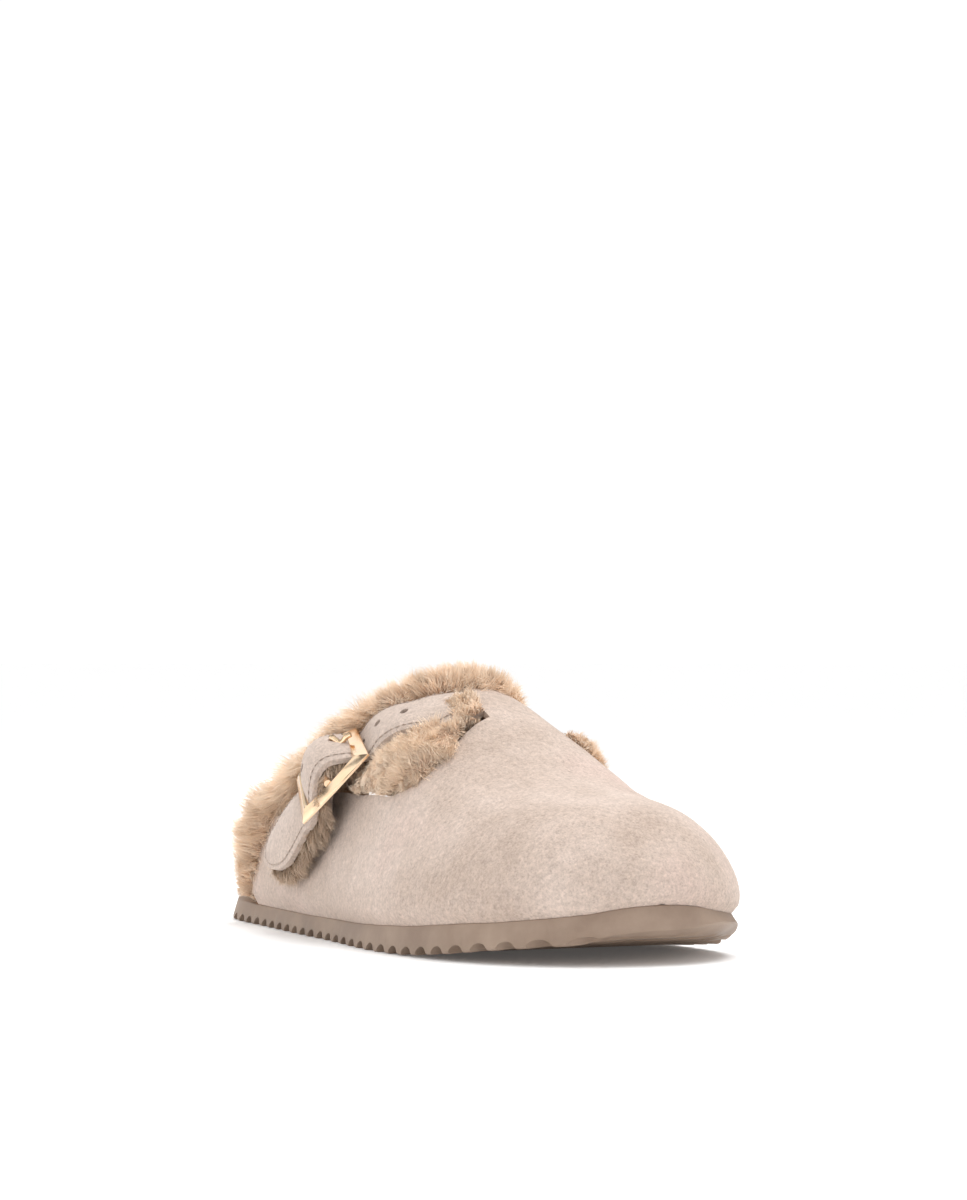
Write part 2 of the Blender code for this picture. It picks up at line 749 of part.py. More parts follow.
def quarter_height(p, w):
    """Height of the upper's outer face below a place in the buckle's terms."""
    base, out = buckle_point(p, w, 0), buckle_axes(p)[2]
    low, high = -0.02, 0.01
    for _ in range(24):
        middle = (low + high) / 2
        if stand_off(base + out * middle, out) > 0:
            high = middle
        else:
            low = middle
    return high


def make_tab(parts, cutters):
    """The suede tab that is sewn to the quarter and folds round the centre bar."""
    bm = bmesh.new()
    wrap = CENTRE_BAR_RADIUS + CLEARANCE + TAB_THICKNESS / 2
    step = TAB_THICKNESS + CLEARANCE
    path = []
    for p in (-TAB_LENGTH, -TAB_LENGTH * 0.8, -TAB_LENGTH * 0.62, -TAB_LENGTH * 0.48):
        under = max(quarter_height(p, w * TAB_WIDTH / 2) for w in (-1, -0.5, 0, 0.5, 1))
        path.append((p, under + 0.0006 + TAB_THICKNESS / 2))
    low_p, low = path[-1]
    bottom = CENTRE_BAR_LIFT - wrap
    for t in (0.35, 0.7):
        path.append((low_p * (1 - t) - 0.002 * t, low + (bottom - low) * (1 - (1 - t) ** 1.5)))
    for k in range(9):
        turn = math.radians(-110 + 220 * k / 8)
        path.append((wrap * math.cos(turn), CENTRE_BAR_LIFT + wrap * math.sin(turn)))
    for t in (0.55, 0.25):
        path.append((low_p * (1 - t) - 0.002 * t, low + step + (bottom - low) * (1 - (1 - t) ** 1.5) + 0.0002))
    rows = []
    for i, (p, height) in enumerate(path):
        a, b = path[max(i - 1, 0)], path[min(i + 1, len(path) - 1)]
        run = Vector((b[0] - a[0], b[1] - a[1])).normalized()
        aside = Vector((-run.y, run.x)) * TAB_THICKNESS / 2
        row = []
        for sign, side in ((1, -1), (1, 1), (-1, 1), (-1, -1)):
            row.append(bm.verts.new(
                buckle_point(p + aside.x * sign, side * TAB_WIDTH / 2, height + aside.y * sign)
            ))
        rows.append(row)
    for first, second in zip(rows, rows[1:]):
        bridge(bm, first + first[:1], second + second[:1])
    bm.faces.new(rows[0])
    bm.faces.new(rows[-1])
    tab = piece_from(bm, "buckle_tab", "suede", parts)

    # A slot lets the prong through the fold
    bm = bmesh.new()
    aside = strap_under(HOLE_FROM_BAR)[2]
    slab(bm, lambda u, v, level: buckle_point(-0.0012 + 0.006 * u, aside + (v - 0.5) * 0.0032, level), 1, 1,
         CENTRE_BAR_LIFT - 0.0035, CENTRE_BAR_LIFT + 0.0035)
    cut(tab, piece_from(bm, "tab_slot_cutter", "suede", cutters))
    return tab


def add_tube(bm, points, radius, sides):
    """A round bar along a few points, closed at both ends."""
    rings = []
    reference = Vector((0, 0, 1))
    for i, point in enumerate(points):
        ahead = points[min(i + 1, len(points) - 1)] - points[max(i - 1, 0)]
        ahead.normalize()
        first = ahead.cross(reference).normalized()
        second = ahead.cross(first)
        ring = []
        for k in range(sides):
            turn = 2 * math.pi * k / sides
            ring.append(bm.verts.new(point + (first * math.cos(turn) + second * math.sin(turn)) * radius))
        rings.append(ring)
    for a, b in zip(rings, rings[1:]):
        bridge(bm, a + a[:1], b + b[:1])
    bm.faces.new(rings[0])
    bm.faces.new(rings[-1])


def make_collar_fur(parts):
    """The lining's fur, rolled out past the upper's back edge from sole to sole."""
    bm = bmesh.new()
    steps, around = 44, 9
    rings = []
    for i in range(steps + 1):
        across = -0.985 + 1.97 * i / steps
        back = smooth(COLLAR, across)
        reach = COLLAR_FUR_REACH * (1 - 0.25 * abs(across) ** 6)
        ring = []
        for k in range(around):
            turn = 2 * math.pi * (k + 0.5) / around
            behind = COLLAR_GAP + reach * (1 - math.cos(turn)) / 2
            middle = (COLLAR_FUR_OUT - FUR_INNER_DEPTH) / 2
            thick = (COLLAR_FUR_OUT + FUR_INNER_DEPTH) / 2
            lift = middle + thick * math.sin(turn)
            ring.append(bm.verts.new(lifted(back - behind / SOLE_LENGTH, across, lift)))
        rings.append(ring)
    faces = []
    for a, b in zip(rings, rings[1:]):
        before = set(bm.faces)
        bridge(bm, a + a[:1], b + b[:1])
        faces += [f for f in bm.faces if f not in before]
    bm.faces.new(rings[0])
    bm.faces.new(rings[-1])
    bmesh.ops.recalc_face_normals(bm, faces=bm.faces)
    # Locks stand on the outer and rear of the roll, clear of the sole
    ends = around * 3
    shown = [f for i, f in enumerate(faces) if 2 <= i % around <= 5 and ends < i < len(faces) - ends]
    add_locks(bm, shown, LOCK_LENGTH, Vector((0, 0.5, 0.15)), 3)
    return piece_from(bm, "collar_fur", "fur", parts)


def opening_limits(table, u, to_collar):
    """The shares across a cut-out between which its fur lies."""
    vamp, back = opening_point(table, u, 0, 0), opening_point(table, u, 1, 0)
    edge = SLOT_FUR_MARGIN / max((back - vamp).length, 0.001)
    if not to_collar:
        return edge, 1 - edge
    low, high = 0.0, 1.0
    for _ in range(20):
        middle = (low + high) / 2
        across, along = opening_place(table, u, middle)
        if along - smooth(COLLAR, across) > COLLAR_GAP / SOLE_LENGTH:
            low = middle
        else:
            high = middle
    return edge, low


def fur_in_opening(name, table, span, steps, columns, to_collar, parts, seed):
    """Fur that fills a cut-out from its lining side and swells out of what is left
    open in front of the strap."""
    bm = bmesh.new()
    rows = [(i, *row) for i, row in enumerate(table)]
    swollen = {}

    def place(u, v, level):
        u = span[0] + (span[1] - span[0]) * u
        first, last = opening_limits(table, u, to_collar)
        share = first + (last - first) * v
        if level == 0:
            return opening_point(table, u, share, -FUR_INNER_DEPTH - 0.0010)
        shown = smooth(rows, u * (len(table) - 1), 5)
        swell = 0.0
        if shown > 0.02 and share < shown:
            ends = min((u - span[0]) * 9, (span[1] - u) * 9, 1)
            swell = max(math.sin(math.pi * share / shown), 0) ** 0.6 * max(ends, 0) ** 0.5
        return opening_point(table, u, share, UNDER_STRAP + (SLOT_FUR_BULGE - UNDER_STRAP) * swell)

    top = slab(bm, place, steps, columns, 0, 1)
    bmesh.ops.recalc_face_normals(bm, faces=bm.faces)
    shown = []
    for face in top:
        middle = face.calc_center_median()
        if stand_off_near(table, middle) > 0.0012:
            shown.append(face)
    add_locks(bm, shown, LOCK_LENGTH * 0.7, Vector((0, 0.1, -0.2)), seed)
    return piece_from(bm, name, "fur", parts)


def stand_off_near(table, point):
    """How far a point stands out from the upper's face, on either side of the foot."""
    best = None
    for i in range(41):
        for j in range(9):
            place = opening_place(table, i / 40, j / 8)
            on_face = upper_point(place[1], place[0])
            away = (point - on_face).length
            if best is None or away < best[0]:
                best = (away, (point - on_face).dot(upper_normal(place[1], place[0])))
    return best[1]


def make_strap_fur(parts):
    """The strap's fur backing, from below the buckle to the tip, over the tab."""
    bm = bmesh.new()
    first = BUCKLE_TO - 0.0030
    last = STRAP_LENGTH - 0.0010
    tab_end = strap_under(-TAB_LENGTH - 0.0016)[0]

    def place(u, v, level):
        run = first + (last - first) * u
        side = (v * 2 - 1) * (strap_half(run) - 0.0005)
        if level == 1:
            return on_strap(run, side, -CLEARANCE * 1.4)
        deep = STRAP_FUR_DEPTH
        if run > tab_end or abs(side) > TAB_WIDTH / 2 + 0.0032:
            point = on_strap(run, side, 0)
            deep = max(stand_off(point, strap_frame(run)[2]) - 0.0007, 0.0008)
            deep = min(deep, STRAP_FUR_DEPTH * 1.6)
        return on_strap(run, side, -deep)

    slab(bm, place, 12, 8, 0, 1)
    return piece_from(bm, "strap_fur", "fur", parts)


def build():
    for obj in list(bpy.data.objects):
        bpy.data.objects.remove(obj)
    parts = bpy.data.collections.new("clog_slipper")
    cutters = bpy.data.collections.new("cutters")
    bpy.context.scene.collection.children.link(parts)
    bpy.context.scene.collection.children.link(cutters)
    make_outsole(parts, cutters)
    make_insole(parts)
    make_upper(parts, cutters)
    make_strap(parts, cutters)
    make_buckle(parts, cutters)
    make_tab(parts, cutters)
    make_collar_fur(parts)
    fur_in_opening("outer_fur", OUTER_OPENING, (0.07, 0.985), 30, 9, True, parts, 5)
    fur_in_opening("inner_fur", INNER_SLOT, (0.05, 0.95), 12, 5, False, parts, 7)
    make_strap_fur(parts)


build()
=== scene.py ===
import math

import bmesh
import bpy
import numpy as np
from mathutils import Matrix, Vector, kdtree, noise


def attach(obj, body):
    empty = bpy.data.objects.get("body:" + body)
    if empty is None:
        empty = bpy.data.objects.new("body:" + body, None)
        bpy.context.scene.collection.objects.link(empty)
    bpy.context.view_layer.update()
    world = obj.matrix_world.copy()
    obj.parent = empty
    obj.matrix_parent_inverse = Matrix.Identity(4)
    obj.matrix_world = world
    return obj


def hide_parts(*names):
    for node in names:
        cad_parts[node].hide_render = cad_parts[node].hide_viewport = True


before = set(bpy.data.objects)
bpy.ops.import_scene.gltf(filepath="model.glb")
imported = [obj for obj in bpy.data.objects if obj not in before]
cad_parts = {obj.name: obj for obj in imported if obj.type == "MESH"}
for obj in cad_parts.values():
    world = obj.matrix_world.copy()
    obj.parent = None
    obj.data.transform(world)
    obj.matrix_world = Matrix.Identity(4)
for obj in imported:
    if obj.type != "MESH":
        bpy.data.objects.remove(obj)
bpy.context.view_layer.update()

# The room
# A white floor without edges, a big soft light over the shoe, one from the left
# and one behind it. The camera is low and looks at the outer side of the toe.
CAMERA_AZIMUTH = math.radians(-25.6)
CAMERA_ELEVATION = math.radians(2.5)
CAMERA_DISTANCE = 1.2
AIM = Vector((0.0, -0.00455, 0.035))


def set_values(node, **values):
    """Sets a node's sockets and settings. A _ in a socket's name stands for a space."""
    for key, value in values.items():
        socket = key.replace("_", " ")
        if socket in node.inputs:
            node.inputs[socket].default_value = value
        else:
            setattr(node, key, value)


def add_node(tree, kind, **values):
    node = tree.nodes.new(kind)
    set_values(node, **values)
    return node


def wire(tree, *links):
    """Joins an output to an input, for each (node, output, node, input)."""
    for start, output, end, entry in links:
        tree.links.new(start.outputs[output], end.inputs[entry])


def new_material(name):
    """(material, its node tree, its shader)"""
    material = bpy.data.materials.new(name)
    material.use_nodes = True
    return material, material.node_tree, material.node_tree.nodes["Principled BSDF"]


floor_mesh = bpy.data.meshes.new("floor")
floor_mesh.from_pydata([(-60, -60, 0), (60, -60, 0), (60, 60, 0), (-60, 60, 0)], [], [(0, 1, 2, 3)])
floor = bpy.data.objects.new("floor", floor_mesh)
bpy.context.scene.collection.objects.link(floor)
floor_material, _, shader = new_material("floor")
set_values(shader, Base_Color=(0.97, 0.97, 0.97, 1), Roughness=0.9, Specular_IOR_Level=0.1,
           Emission_Color=(1, 1, 1, 1), Emission_Strength=0.05)
floor_mesh.materials.append(floor_material)

world = bpy.data.worlds.new("soft room")
world.use_nodes = True
bpy.context.scene.world = world
bpy.context.scene.view_settings.view_transform = "Standard"
tree = world.node_tree
background = tree.nodes["Background"]
background.inputs["Strength"].default_value = 1.06
direction = add_node(tree, "ShaderNodeTexCoord")
walls = add_node(tree, "ShaderNodeTexNoise", Scale=2.3, Detail=1.0)
shade = add_node(tree, "ShaderNodeMapRange", From_Min=0.42, From_Max=0.50, To_Min=0.30)
apart = add_node(tree, "ShaderNodeSeparateXYZ")
front = add_node(tree, "ShaderNodeMapRange", From_Min=-0.45, From_Max=0.05)
lighter = add_node(tree, "ShaderNodeMath", operation="MAXIMUM")
# What polished metal mirrors: dark stands and bright screens all round the table
stands = add_node(tree, "ShaderNodeTexNoise", Scale=2.9, Detail=0.5)
contrast = add_node(tree, "ShaderNodeMapRange", From_Min=0.44, From_Max=0.56, To_Min=0.12, To_Max=1.25)
mirrored = add_node(tree, "ShaderNodeBackground")
path = add_node(tree, "ShaderNodeLightPath")
either = add_node(tree, "ShaderNodeMixShader")
wire(
    tree,
    (direction, "Generated", walls, "Vector"), (direction, "Generated", apart, "Vector"),
    (walls, "Fac", shade, "Value"), (apart, "Y", front, "Value"),
    (shade, "Result", lighter, 0), (front, "Result", lighter, 1),
    (lighter, "Value", background, "Color"),
    (direction, "Generated", stands, "Vector"), (stands, "Fac", contrast, "Value"),
    (contrast, "Result", mirrored, "Color"), (path, "Is Glossy Ray", either, "Fac"),
    (background, "Background", either, 1), (mirrored, "Background", either, 2),
    (either, "Shader", tree.nodes["World Output"], "Surface"),
)

for name, place, size, power in (
    ("overhead", (0.30, -0.10, 1.15), 0.9, 9.0),
    ("left", (-1.1, -0.45, 0.55), 0.8, 1.2),
    ("back", (0.5, 1.1, 0.9), 0.9, 4.0),
):
    light = bpy.data.lights.new(name, "AREA")
    light.size = size
    light.energy = power
    lamp = bpy.data.objects.new(name, light)
    lamp.location = place
    lamp.visible_glossy = False
    lamp.rotation_euler = (AIM - Vector(place)).to_track_quat("-Z", "Y").to_euler()
    bpy.context.scene.collection.objects.link(lamp)

camera = bpy.data.objects.new("camera", bpy.data.cameras.new("camera"))
camera.data.lens = 114.6
camera.data.sensor_width = 36
camera.data.shift_x = 0.0246
camera.data.shift_y = 0.188
back_off = Vector((
    math.sin(CAMERA_AZIMUTH) * math.cos(CAMERA_ELEVATION),
    -math.cos(CAMERA_AZIMUTH) * math.cos(CAMERA_ELEVATION),
    math.sin(CAMERA_ELEVATION),
))
camera.location = AIM + CAMERA_DISTANCE * back_off
camera.rotation_euler = (-back_off).to_track_quat("-Z", "Y").to_euler()
bpy.context.scene.collection.objects.link(camera)
bpy.context.scene.camera = camera


# Suede
# Split leather with a short brushed nap: matt, mottled where the nap lies another
# way, with a fine grain and a soft sheen at grazing angles.
def two_tone(tree, low, first, high, second):
    """A colour ramp from the first colour at low to the second at high."""
    ramp = tree.nodes.new("ShaderNodeValToRGB")
    for element, place, colour in zip(ramp.color_ramp.elements, (low, high), (first, second)):
        element.position, element.color = place, (*colour, 1)
    return ramp


def mix_colours(tree, share, first, second):
    """The output of a mix between two colour outputs."""
    mix = add_node(tree, "ShaderNodeMix", data_type="RGBA")
    entries = [mix.inputs["Factor"]] + [entry for entry in mix.inputs if entry.type == "RGBA"]
    for output, entry in zip((share, first, second), entries):
        tree.links.new(output, entry)
    return next(output for output in mix.outputs if output.type == "RGBA")


def nap_group():
    """Colour and height of brushed suede, from object coordinates."""
    group = bpy.data.node_groups.new("nap", "ShaderNodeTree")
    for name in ("Pale", "Deep", "Rosy"):
        group.interface.new_socket(name, in_out="INPUT", socket_type="NodeSocketColor")
    group.interface.new_socket("Color", in_out="OUTPUT", socket_type="NodeSocketColor")
    group.interface.new_socket("Height", in_out="OUTPUT", socket_type="NodeSocketFloat")
    given = group.nodes.new("NodeGroupInput").outputs
    end = group.nodes.new("NodeGroupOutput")
    where = group.nodes.new("ShaderNodeTexCoord")
    cloud = add_node(group, "ShaderNodeTexNoise", Scale=34.0, Detail=4.0, Roughness=0.6)
    patch = add_node(group, "ShaderNodeTexNoise", Scale=17.0, Detail=2.0)
    grain = add_node(group, "ShaderNodeTexNoise", Scale=1500.0, Detail=2.0, Roughness=0.7)
    clump = add_node(group, "ShaderNodeTexNoise", Scale=640.0, Detail=3.0, Roughness=0.65)
    mottled = add_node(group, "ShaderNodeMapRange", From_Min=0.34, From_Max=0.66)
    rosy = add_node(group, "ShaderNodeMapRange", From_Min=0.54, From_Max=0.72, To_Max=0.6)
    both = add_node(group, "ShaderNodeMath", operation="ADD")
    speckle = add_node(group, "ShaderNodeMapRange", From_Min=0.62, From_Max=1.38, To_Min=0.70, To_Max=1.24)
    shaded = add_node(group, "ShaderNodeVectorMath", operation="SCALE")
    wire(
        group,
        *((where, "Object", node, "Vector") for node in (cloud, patch, grain, clump)),
        (cloud, "Fac", mottled, "Value"), (patch, "Fac", rosy, "Value"),
        (grain, "Fac", both, 0), (clump, "Fac", both, 1), (both, "Value", speckle, "Value"),
        (speckle, "Result", shaded, "Scale"), (shaded, "Vector", end, "Color"), (both, "Value", end, "Height"),
    )
    base = mix_colours(group, mottled.outputs["Result"], given["Deep"], given["Pale"])
    tinted = mix_colours(group, rosy.outputs["Result"], base, given["Rosy"])
    group.links.new(tinted, shaded.inputs[0])
    return group


NAP = nap_group()


def suede_finish(name, pale, deep, rosy):
    """(material, its nap node, its shader), in three shades of the nap"""
    material, tree, shader = new_material(name)
    nap = add_node(tree, "ShaderNodeGroup", node_tree=NAP, Pale=(*pale, 1), Deep=(*deep, 1), Rosy=(*rosy, 1))
    bump = add_node(tree, "ShaderNodeBump", Strength=0.6, Distance=0.0004)
    wire(tree, (nap, "Color", shader, "Base Color"), (nap, "Height", bump, "Height"),
         (bump, "Normal", shader, "Normal"))
    set_values(shader, Roughness=0.93, Specular_IOR_Level=0.15, Sheen_Weight=0.25, Sheen_Roughness=0.45,
               Sheen_Tint=(1.0, 0.93, 0.88, 1))
    return material, nap, shader


suede, _, _ = suede_finish("suede", (0.60, 0.49, 0.425), (0.485, 0.382, 0.318), (0.54, 0.39, 0.335))


# The upper
# One piece of suede over the last, open at the back, with a long cut-out for the
# strap on the outer side and a crescent slot on the inner side.
SOLE_LENGTH = 0.262
BALL_WIDTH = 0.096
INSTEP_HEIGHT = 0.081
TOE_SPRING = 0.0072
HEEL_LIFT = 0.0016
HEEL_LIFT_END = 0.12
SIDE_HEIGHT = 0.0088
HEEL_RADIUS = 0.036
TOE_RADIUS = 0.075
TOE_SQUARENESS = 2.15
RIB_PITCH = 0.00838
FIRST_GROOVE = 0.0217
ORIGIN_LAND = 12
UPPER_WALL = 0.002
UPPER_SEAT = 0.002
NOSE_LENGTH = 0.030
NOSE_SQUARENESS = 2.6
BELLY = 0.003
BELLY_HEIGHT = 0.026
CLEARANCE = 0.0003
SEAM_OVERLAP = 0.00045
SURFACE_WAVE = 0.00055
LAST = [
    # along, centre, half, ridge
    (0.00, -0.005, 0.345, 0.741),
    (0.10, -0.006, 0.350, 0.790),
    (0.20, 0.000, 0.369, 0.845),
    (0.32, 0.024, 0.379, 0.914),
    (0.45, 0.047, 0.391, 0.985),
    (0.52, 0.046, 0.412, 1.000),
    (0.58, 0.042, 0.438, 0.973),
    (0.66, 0.027, 0.474, 0.858),
    (0.72, 0.013, 0.490, 0.747),
    (0.78, 0.003, 0.498, 0.652),
    (0.84, -0.007, 0.514, 0.599),
    (0.90, -0.020, 0.528, 0.570),
    (0.95, -0.027, 0.540, 0.549),
    (1.00, -0.040, 0.540, 0.519),
]
SPRING = [
    (0.68, 0.0), (0.75, 0.055), (0.818, 0.236), (0.85, 0.347), (0.882, 0.486),
    (0.914, 0.611), (0.946, 0.736), (0.978, 0.875), (1.0, 1.0),
]
SIDE = [
    (0.0, 0.82), (0.25, 0.75), (0.35, 0.75), (0.60, 0.83), (0.69, 0.92), (0.80, 0.98),
    (0.85, 0.97), (0.90, 0.91), (0.95, 0.93), (0.978, 0.98), (1.0, 1.16),
]
FULLNESS = [(0.25, 2.4, 2.2), (0.45, 2.4, 2.0), (0.58, 2.15, 2.15), (0.80, 2.5, 2.5)]
COLLAR = [
    (-1.00, 0.192), (-0.90, 0.206), (-0.80, 0.212), (-0.71, 0.224), (-0.60, 0.310),
    (-0.50, 0.412), (-0.42, 0.474), (-0.30, 0.540), (-0.15, 0.578), (0.00, 0.588),
    (0.15, 0.583), (0.35, 0.545), (0.50, 0.460), (0.60, 0.370), (0.70, 0.290), (0.80, 0.240),
    (0.90, 0.210), (1.00, 0.192),
]
OUTER_OPENING = [
    # edge across, edge along, back across, back along, share in front of the strap
    (-0.735, 0.228, -0.745, 0.205, 0.0),
    (-0.735, 0.250, -0.715, 0.205, 0.0),
    (-0.730, 0.300, -0.680, 0.215, 0.0),
    (-0.702, 0.360, -0.640, 0.245, 0.0),
    (-0.690, 0.420, -0.600, 0.285, 0.0),
    (-0.680, 0.480, -0.560, 0.330, 0.0),
    (-0.668, 0.540, -0.510, 0.375, 0.0),
    (-0.642, 0.592, -0.450, 0.420, 0.22),
    (-0.610, 0.642, -0.400, 0.460, 0.36),
    (-0.530, 0.678, -0.350, 0.490, 0.42),
    (-0.430, 0.692, -0.300, 0.510, 0.38),
    (-0.330, 0.690, -0.250, 0.535, 0.25),
    (-0.230, 0.677, -0.190, 0.550, 0.16),
    (-0.130, 0.664, -0.120, 0.556, 0.06),
    (-0.055, 0.656, -0.055, 0.560, 0.0),
]
INNER_SLOT = [
    # vamp across, vamp along, strap across, strap along, share shown
    (0.260, 0.662, 0.258, 0.655, 1.0),
    (0.320, 0.682, 0.310, 0.646, 1.0),
    (0.410, 0.693, 0.390, 0.638, 1.0),
    (0.510, 0.684, 0.470, 0.624, 1.0),
    (0.590, 0.656, 0.540, 0.602, 1.0),
    (0.645, 0.612, 0.605, 0.576, 1.0),
    (0.662, 0.574, 0.655, 0.566, 1.0),
]


def smooth(table, at, column=1):
    """The table's column at a place, on a smooth curve that never overshoots a row."""
    keys = [row[0] for row in table]
    values = [row[column] for row in table]
    if at <= keys[0]:
        return values[0]
    if at >= keys[-1]:
        return values[-1]
    slopes = [(values[i + 1] - values[i]) / (keys[i + 1] - keys[i]) for i in range(len(keys) - 1)]
    i = max(k for k in range(len(keys) - 1) if keys[k] <= at)

    def tangent(k):
        if k in (0, len(keys) - 1):
            return slopes[0] if k == 0 else slopes[-1]
        before, after = slopes[k - 1], slopes[k]
        if before * after <= 0:
            return 0.0
        near, far = keys[k] - keys[k - 1], keys[k + 1] - keys[k]
        return (near + far) * 1.5 / ((near + 2 * far) / 2 / before + (2 * near + far) / 2 / after)

    step = keys[i + 1] - keys[i]
    t = (at - keys[i]) / step
    return (
        (2 * t**3 - 3 * t**2 + 1) * values[i]
        + (t**3 - 2 * t**2 + t) * step * tangent(i)
        + (3 * t**2 - 2 * t**3) * values[i + 1]
        + (t**3 - t**2) * step * tangent(i + 1)
    )


def rounded_end(distance, radius, squareness):
    """1 beyond the end's radius, falling on a rounded curve to 0 at the end itself."""
    rest = min(max(1 - distance / radius, 0.0), 1.0)
    return (1 - rest**squareness) ** (1 / squareness)


def toe_to_heel(along):
    """Y of a place along the sole. The origin is on the land next to mid length."""
    origin = FIRST_GROOVE + (ORIGIN_LAND + 0.5) * RIB_PITCH
    return origin - along * SOLE_LENGTH


def sole_bottom(along):
    heel = max(HEEL_LIFT_END - along, 0) / HEEL_LIFT_END
    return TOE_SPRING * smooth(SPRING, along) + HEEL_LIFT * heel**2


def sole_top(along):
    return sole_bottom(along) + SIDE_HEIGHT * smooth(SIDE, along)


def half_width(along, inset):
    """Half the plan width at a place, with the rounded heel and toe."""
    ends = rounded_end(along * SOLE_LENGTH, HEEL_RADIUS, 2.0) * rounded_end(
        (1 - along) * SOLE_LENGTH, TOE_RADIUS, TOE_SQUARENESS
    )
    return (smooth(LAST, along, 2) * BALL_WIDTH - inset) * ends


def plan_point(along, side, inset, height):
    """A point of the plan outline, drawn in by inset. side is -1 outer, 1 inner."""
    drawn_in = (inset + along * (SOLE_LENGTH - 2 * inset)) / SOLE_LENGTH
    middle = -smooth(LAST, along) * BALL_WIDTH
    return Vector((middle + side * half_width(along, inset), toe_to_heel(drawn_in), height))


def plan_outward(along, side):
    """The plan outline's outward direction."""
    step = 0.002
    ahead = plan_point(min(along + step, 1), side, 0, 0)
    behind = plan_point(max(along - step, 0), side, 0, 0)
    run = ahead - behind
    return Vector((-run.y * side, run.x * side, 0)).normalized()


def upper_point(along, across, inset=0.0):
    """A point of the upper's outer face, or inset below it in a nested copy of the form."""
    deep = UPPER_SEAT + inset
    drawn_in = (deep + along * (SOLE_LENGTH - 2 * deep)) / SOLE_LENGTH
    angle = (1 - abs(across)) * math.pi / 2
    fullness = smooth(FULLNESS, along, 1 if across < 0 else 2)
    out = max(math.cos(angle), 0.0) ** (2 / fullness)
    up = max(math.sin(angle), 0.0) ** (2 / fullness)
    base = sole_top(along) + CLEARANCE
    ridge = smooth(LAST, along, 3) * INSTEP_HEIGHT - inset
    rise = (ridge - base) * rounded_end((1 - along) * SOLE_LENGTH, NOSE_LENGTH, NOSE_SQUARENESS)
    side = -1 if across < 0 else 1
    middle = -smooth(LAST, along) * BALL_WIDTH
    x = middle + side * half_width(along, deep) * out
    height = rise * up
    # The upper bellies out over the sole's edge
    swell = BELLY * math.sin(math.pi * min(height / BELLY_HEIGHT, 1) ** 0.55)
    outer_share = (1 - across) / 2
    outward = plan_outward(along, -1) * outer_share + plan_outward(along, 1) * (1 - outer_share)
    return Vector((x, toe_to_heel(drawn_in), base + height)) + outward * swell


def upper_normal(along, across):
    step = 0.004
    here = upper_point(along, across)
    forward = upper_point(along + step, across) - here
    over = upper_point(along, across + step) - here
    return forward.cross(over).normalized()


def lifted(along, across, lift):
    """A point above the upper's outer face (negative is below it)."""
    if lift < 0:
        return upper_point(along, across, -lift)
    return upper_point(along, across) + upper_normal(along, across) * lift


def bridge(bm, first, second):
    """Faces between two rows of vertices of the same length."""
    for i in range(len(first) - 1):
        corners = []
        for v in (first[i], first[i + 1], second[i + 1], second[i]):
            if v not in corners:
                corners.append(v)
        if len(corners) > 2:
            bm.faces.new(corners)


def slab(bm, place, rows, columns, low, high):
    """A closed curved slab. place(u, v, level) gives a point, level running from
    low to high, and u and v from 0 to 1."""
    under, over = [
        [[bm.verts.new(place(i / rows, j / columns, level)) for j in range(columns + 1)] for i in range(rows + 1)]
        for level in (low, high)
    ]
    for i in range(rows):
        bridge(bm, under[i], under[i + 1])
        bridge(bm, over[i], over[i + 1])
    bridge(bm, under[0], over[0])
    bridge(bm, under[-1], over[-1])
    bridge(bm, [row[0] for row in under], [row[0] for row in over])
    bridge(bm, [row[-1] for row in under], [row[-1] for row in over])


def add_plan_solid(bm, levels, stations):
    """A solid between stacked copies of the plan outline, closed by strips across.
    levels holds each copy's inset and its height at (along, side)."""
    shares = [(1 - math.cos(math.pi * i / stations)) / 2 for i in range(stations + 1)]
    sides = []
    for inset, height in levels:
        outer = [bm.verts.new(plan_point(s, -1, inset, height(s, -1))) for s in shares]
        inner = [outer[0]]
        inner += [bm.verts.new(plan_point(s, 1, inset, height(s, 1))) for s in shares[1:-1]]
        inner.append(outer[-1])
        sides.append((outer, inner))
    for (outer_a, inner_a), (outer_b, inner_b) in zip(sides, sides[1:]):
        bridge(bm, outer_a, outer_b)
        bridge(bm, inner_a, inner_b)
    for outer, inner in (sides[0], sides[-1]):
        bridge(bm, outer, inner)


def opening_place(table, u, v):
    """(across, along) in a cut-out: u runs along its edges, v from the vamp to the back."""
    rows = [(i, *row) for i, row in enumerate(table)]
    at = u * (len(table) - 1)
    edge_across, edge_along = smooth(rows, at, 1), smooth(rows, at, 2)
    back_across, back_along = smooth(rows, at, 3), smooth(rows, at, 4)
    return edge_across + (back_across - edge_across) * v, edge_along + (back_along - edge_along) * v


def opening_point(table, u, v, lift):
    across, along = opening_place(table, u, v)
    return lifted(along, across, lift)


def show(bm, name, material, slot, nodes=(), smooth_below=40, split=False):
    """The bmesh as a dressed piece that rides on the shoe."""
    bmesh.ops.remove_doubles(bm, verts=bm.verts, dist=0.000001)
    bmesh.ops.recalc_face_normals(bm, faces=bm.faces)
    if split:
        bmesh.ops.triangulate(bm, faces=bm.faces)
    mesh = bpy.data.meshes.new(name)
    bm.to_mesh(mesh)
    bm.free()
    mesh.shade_smooth()
    mesh.set_sharp_from_angle(angle=math.radians(smooth_below))
    if material is not None:
        mesh.materials.append(material)
    piece = bpy.data.objects.new(name, mesh)
    bpy.context.scene.collection.objects.link(piece)
    if slot:
        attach(piece, "root")
        if nodes:
            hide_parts(*nodes)
    return piece


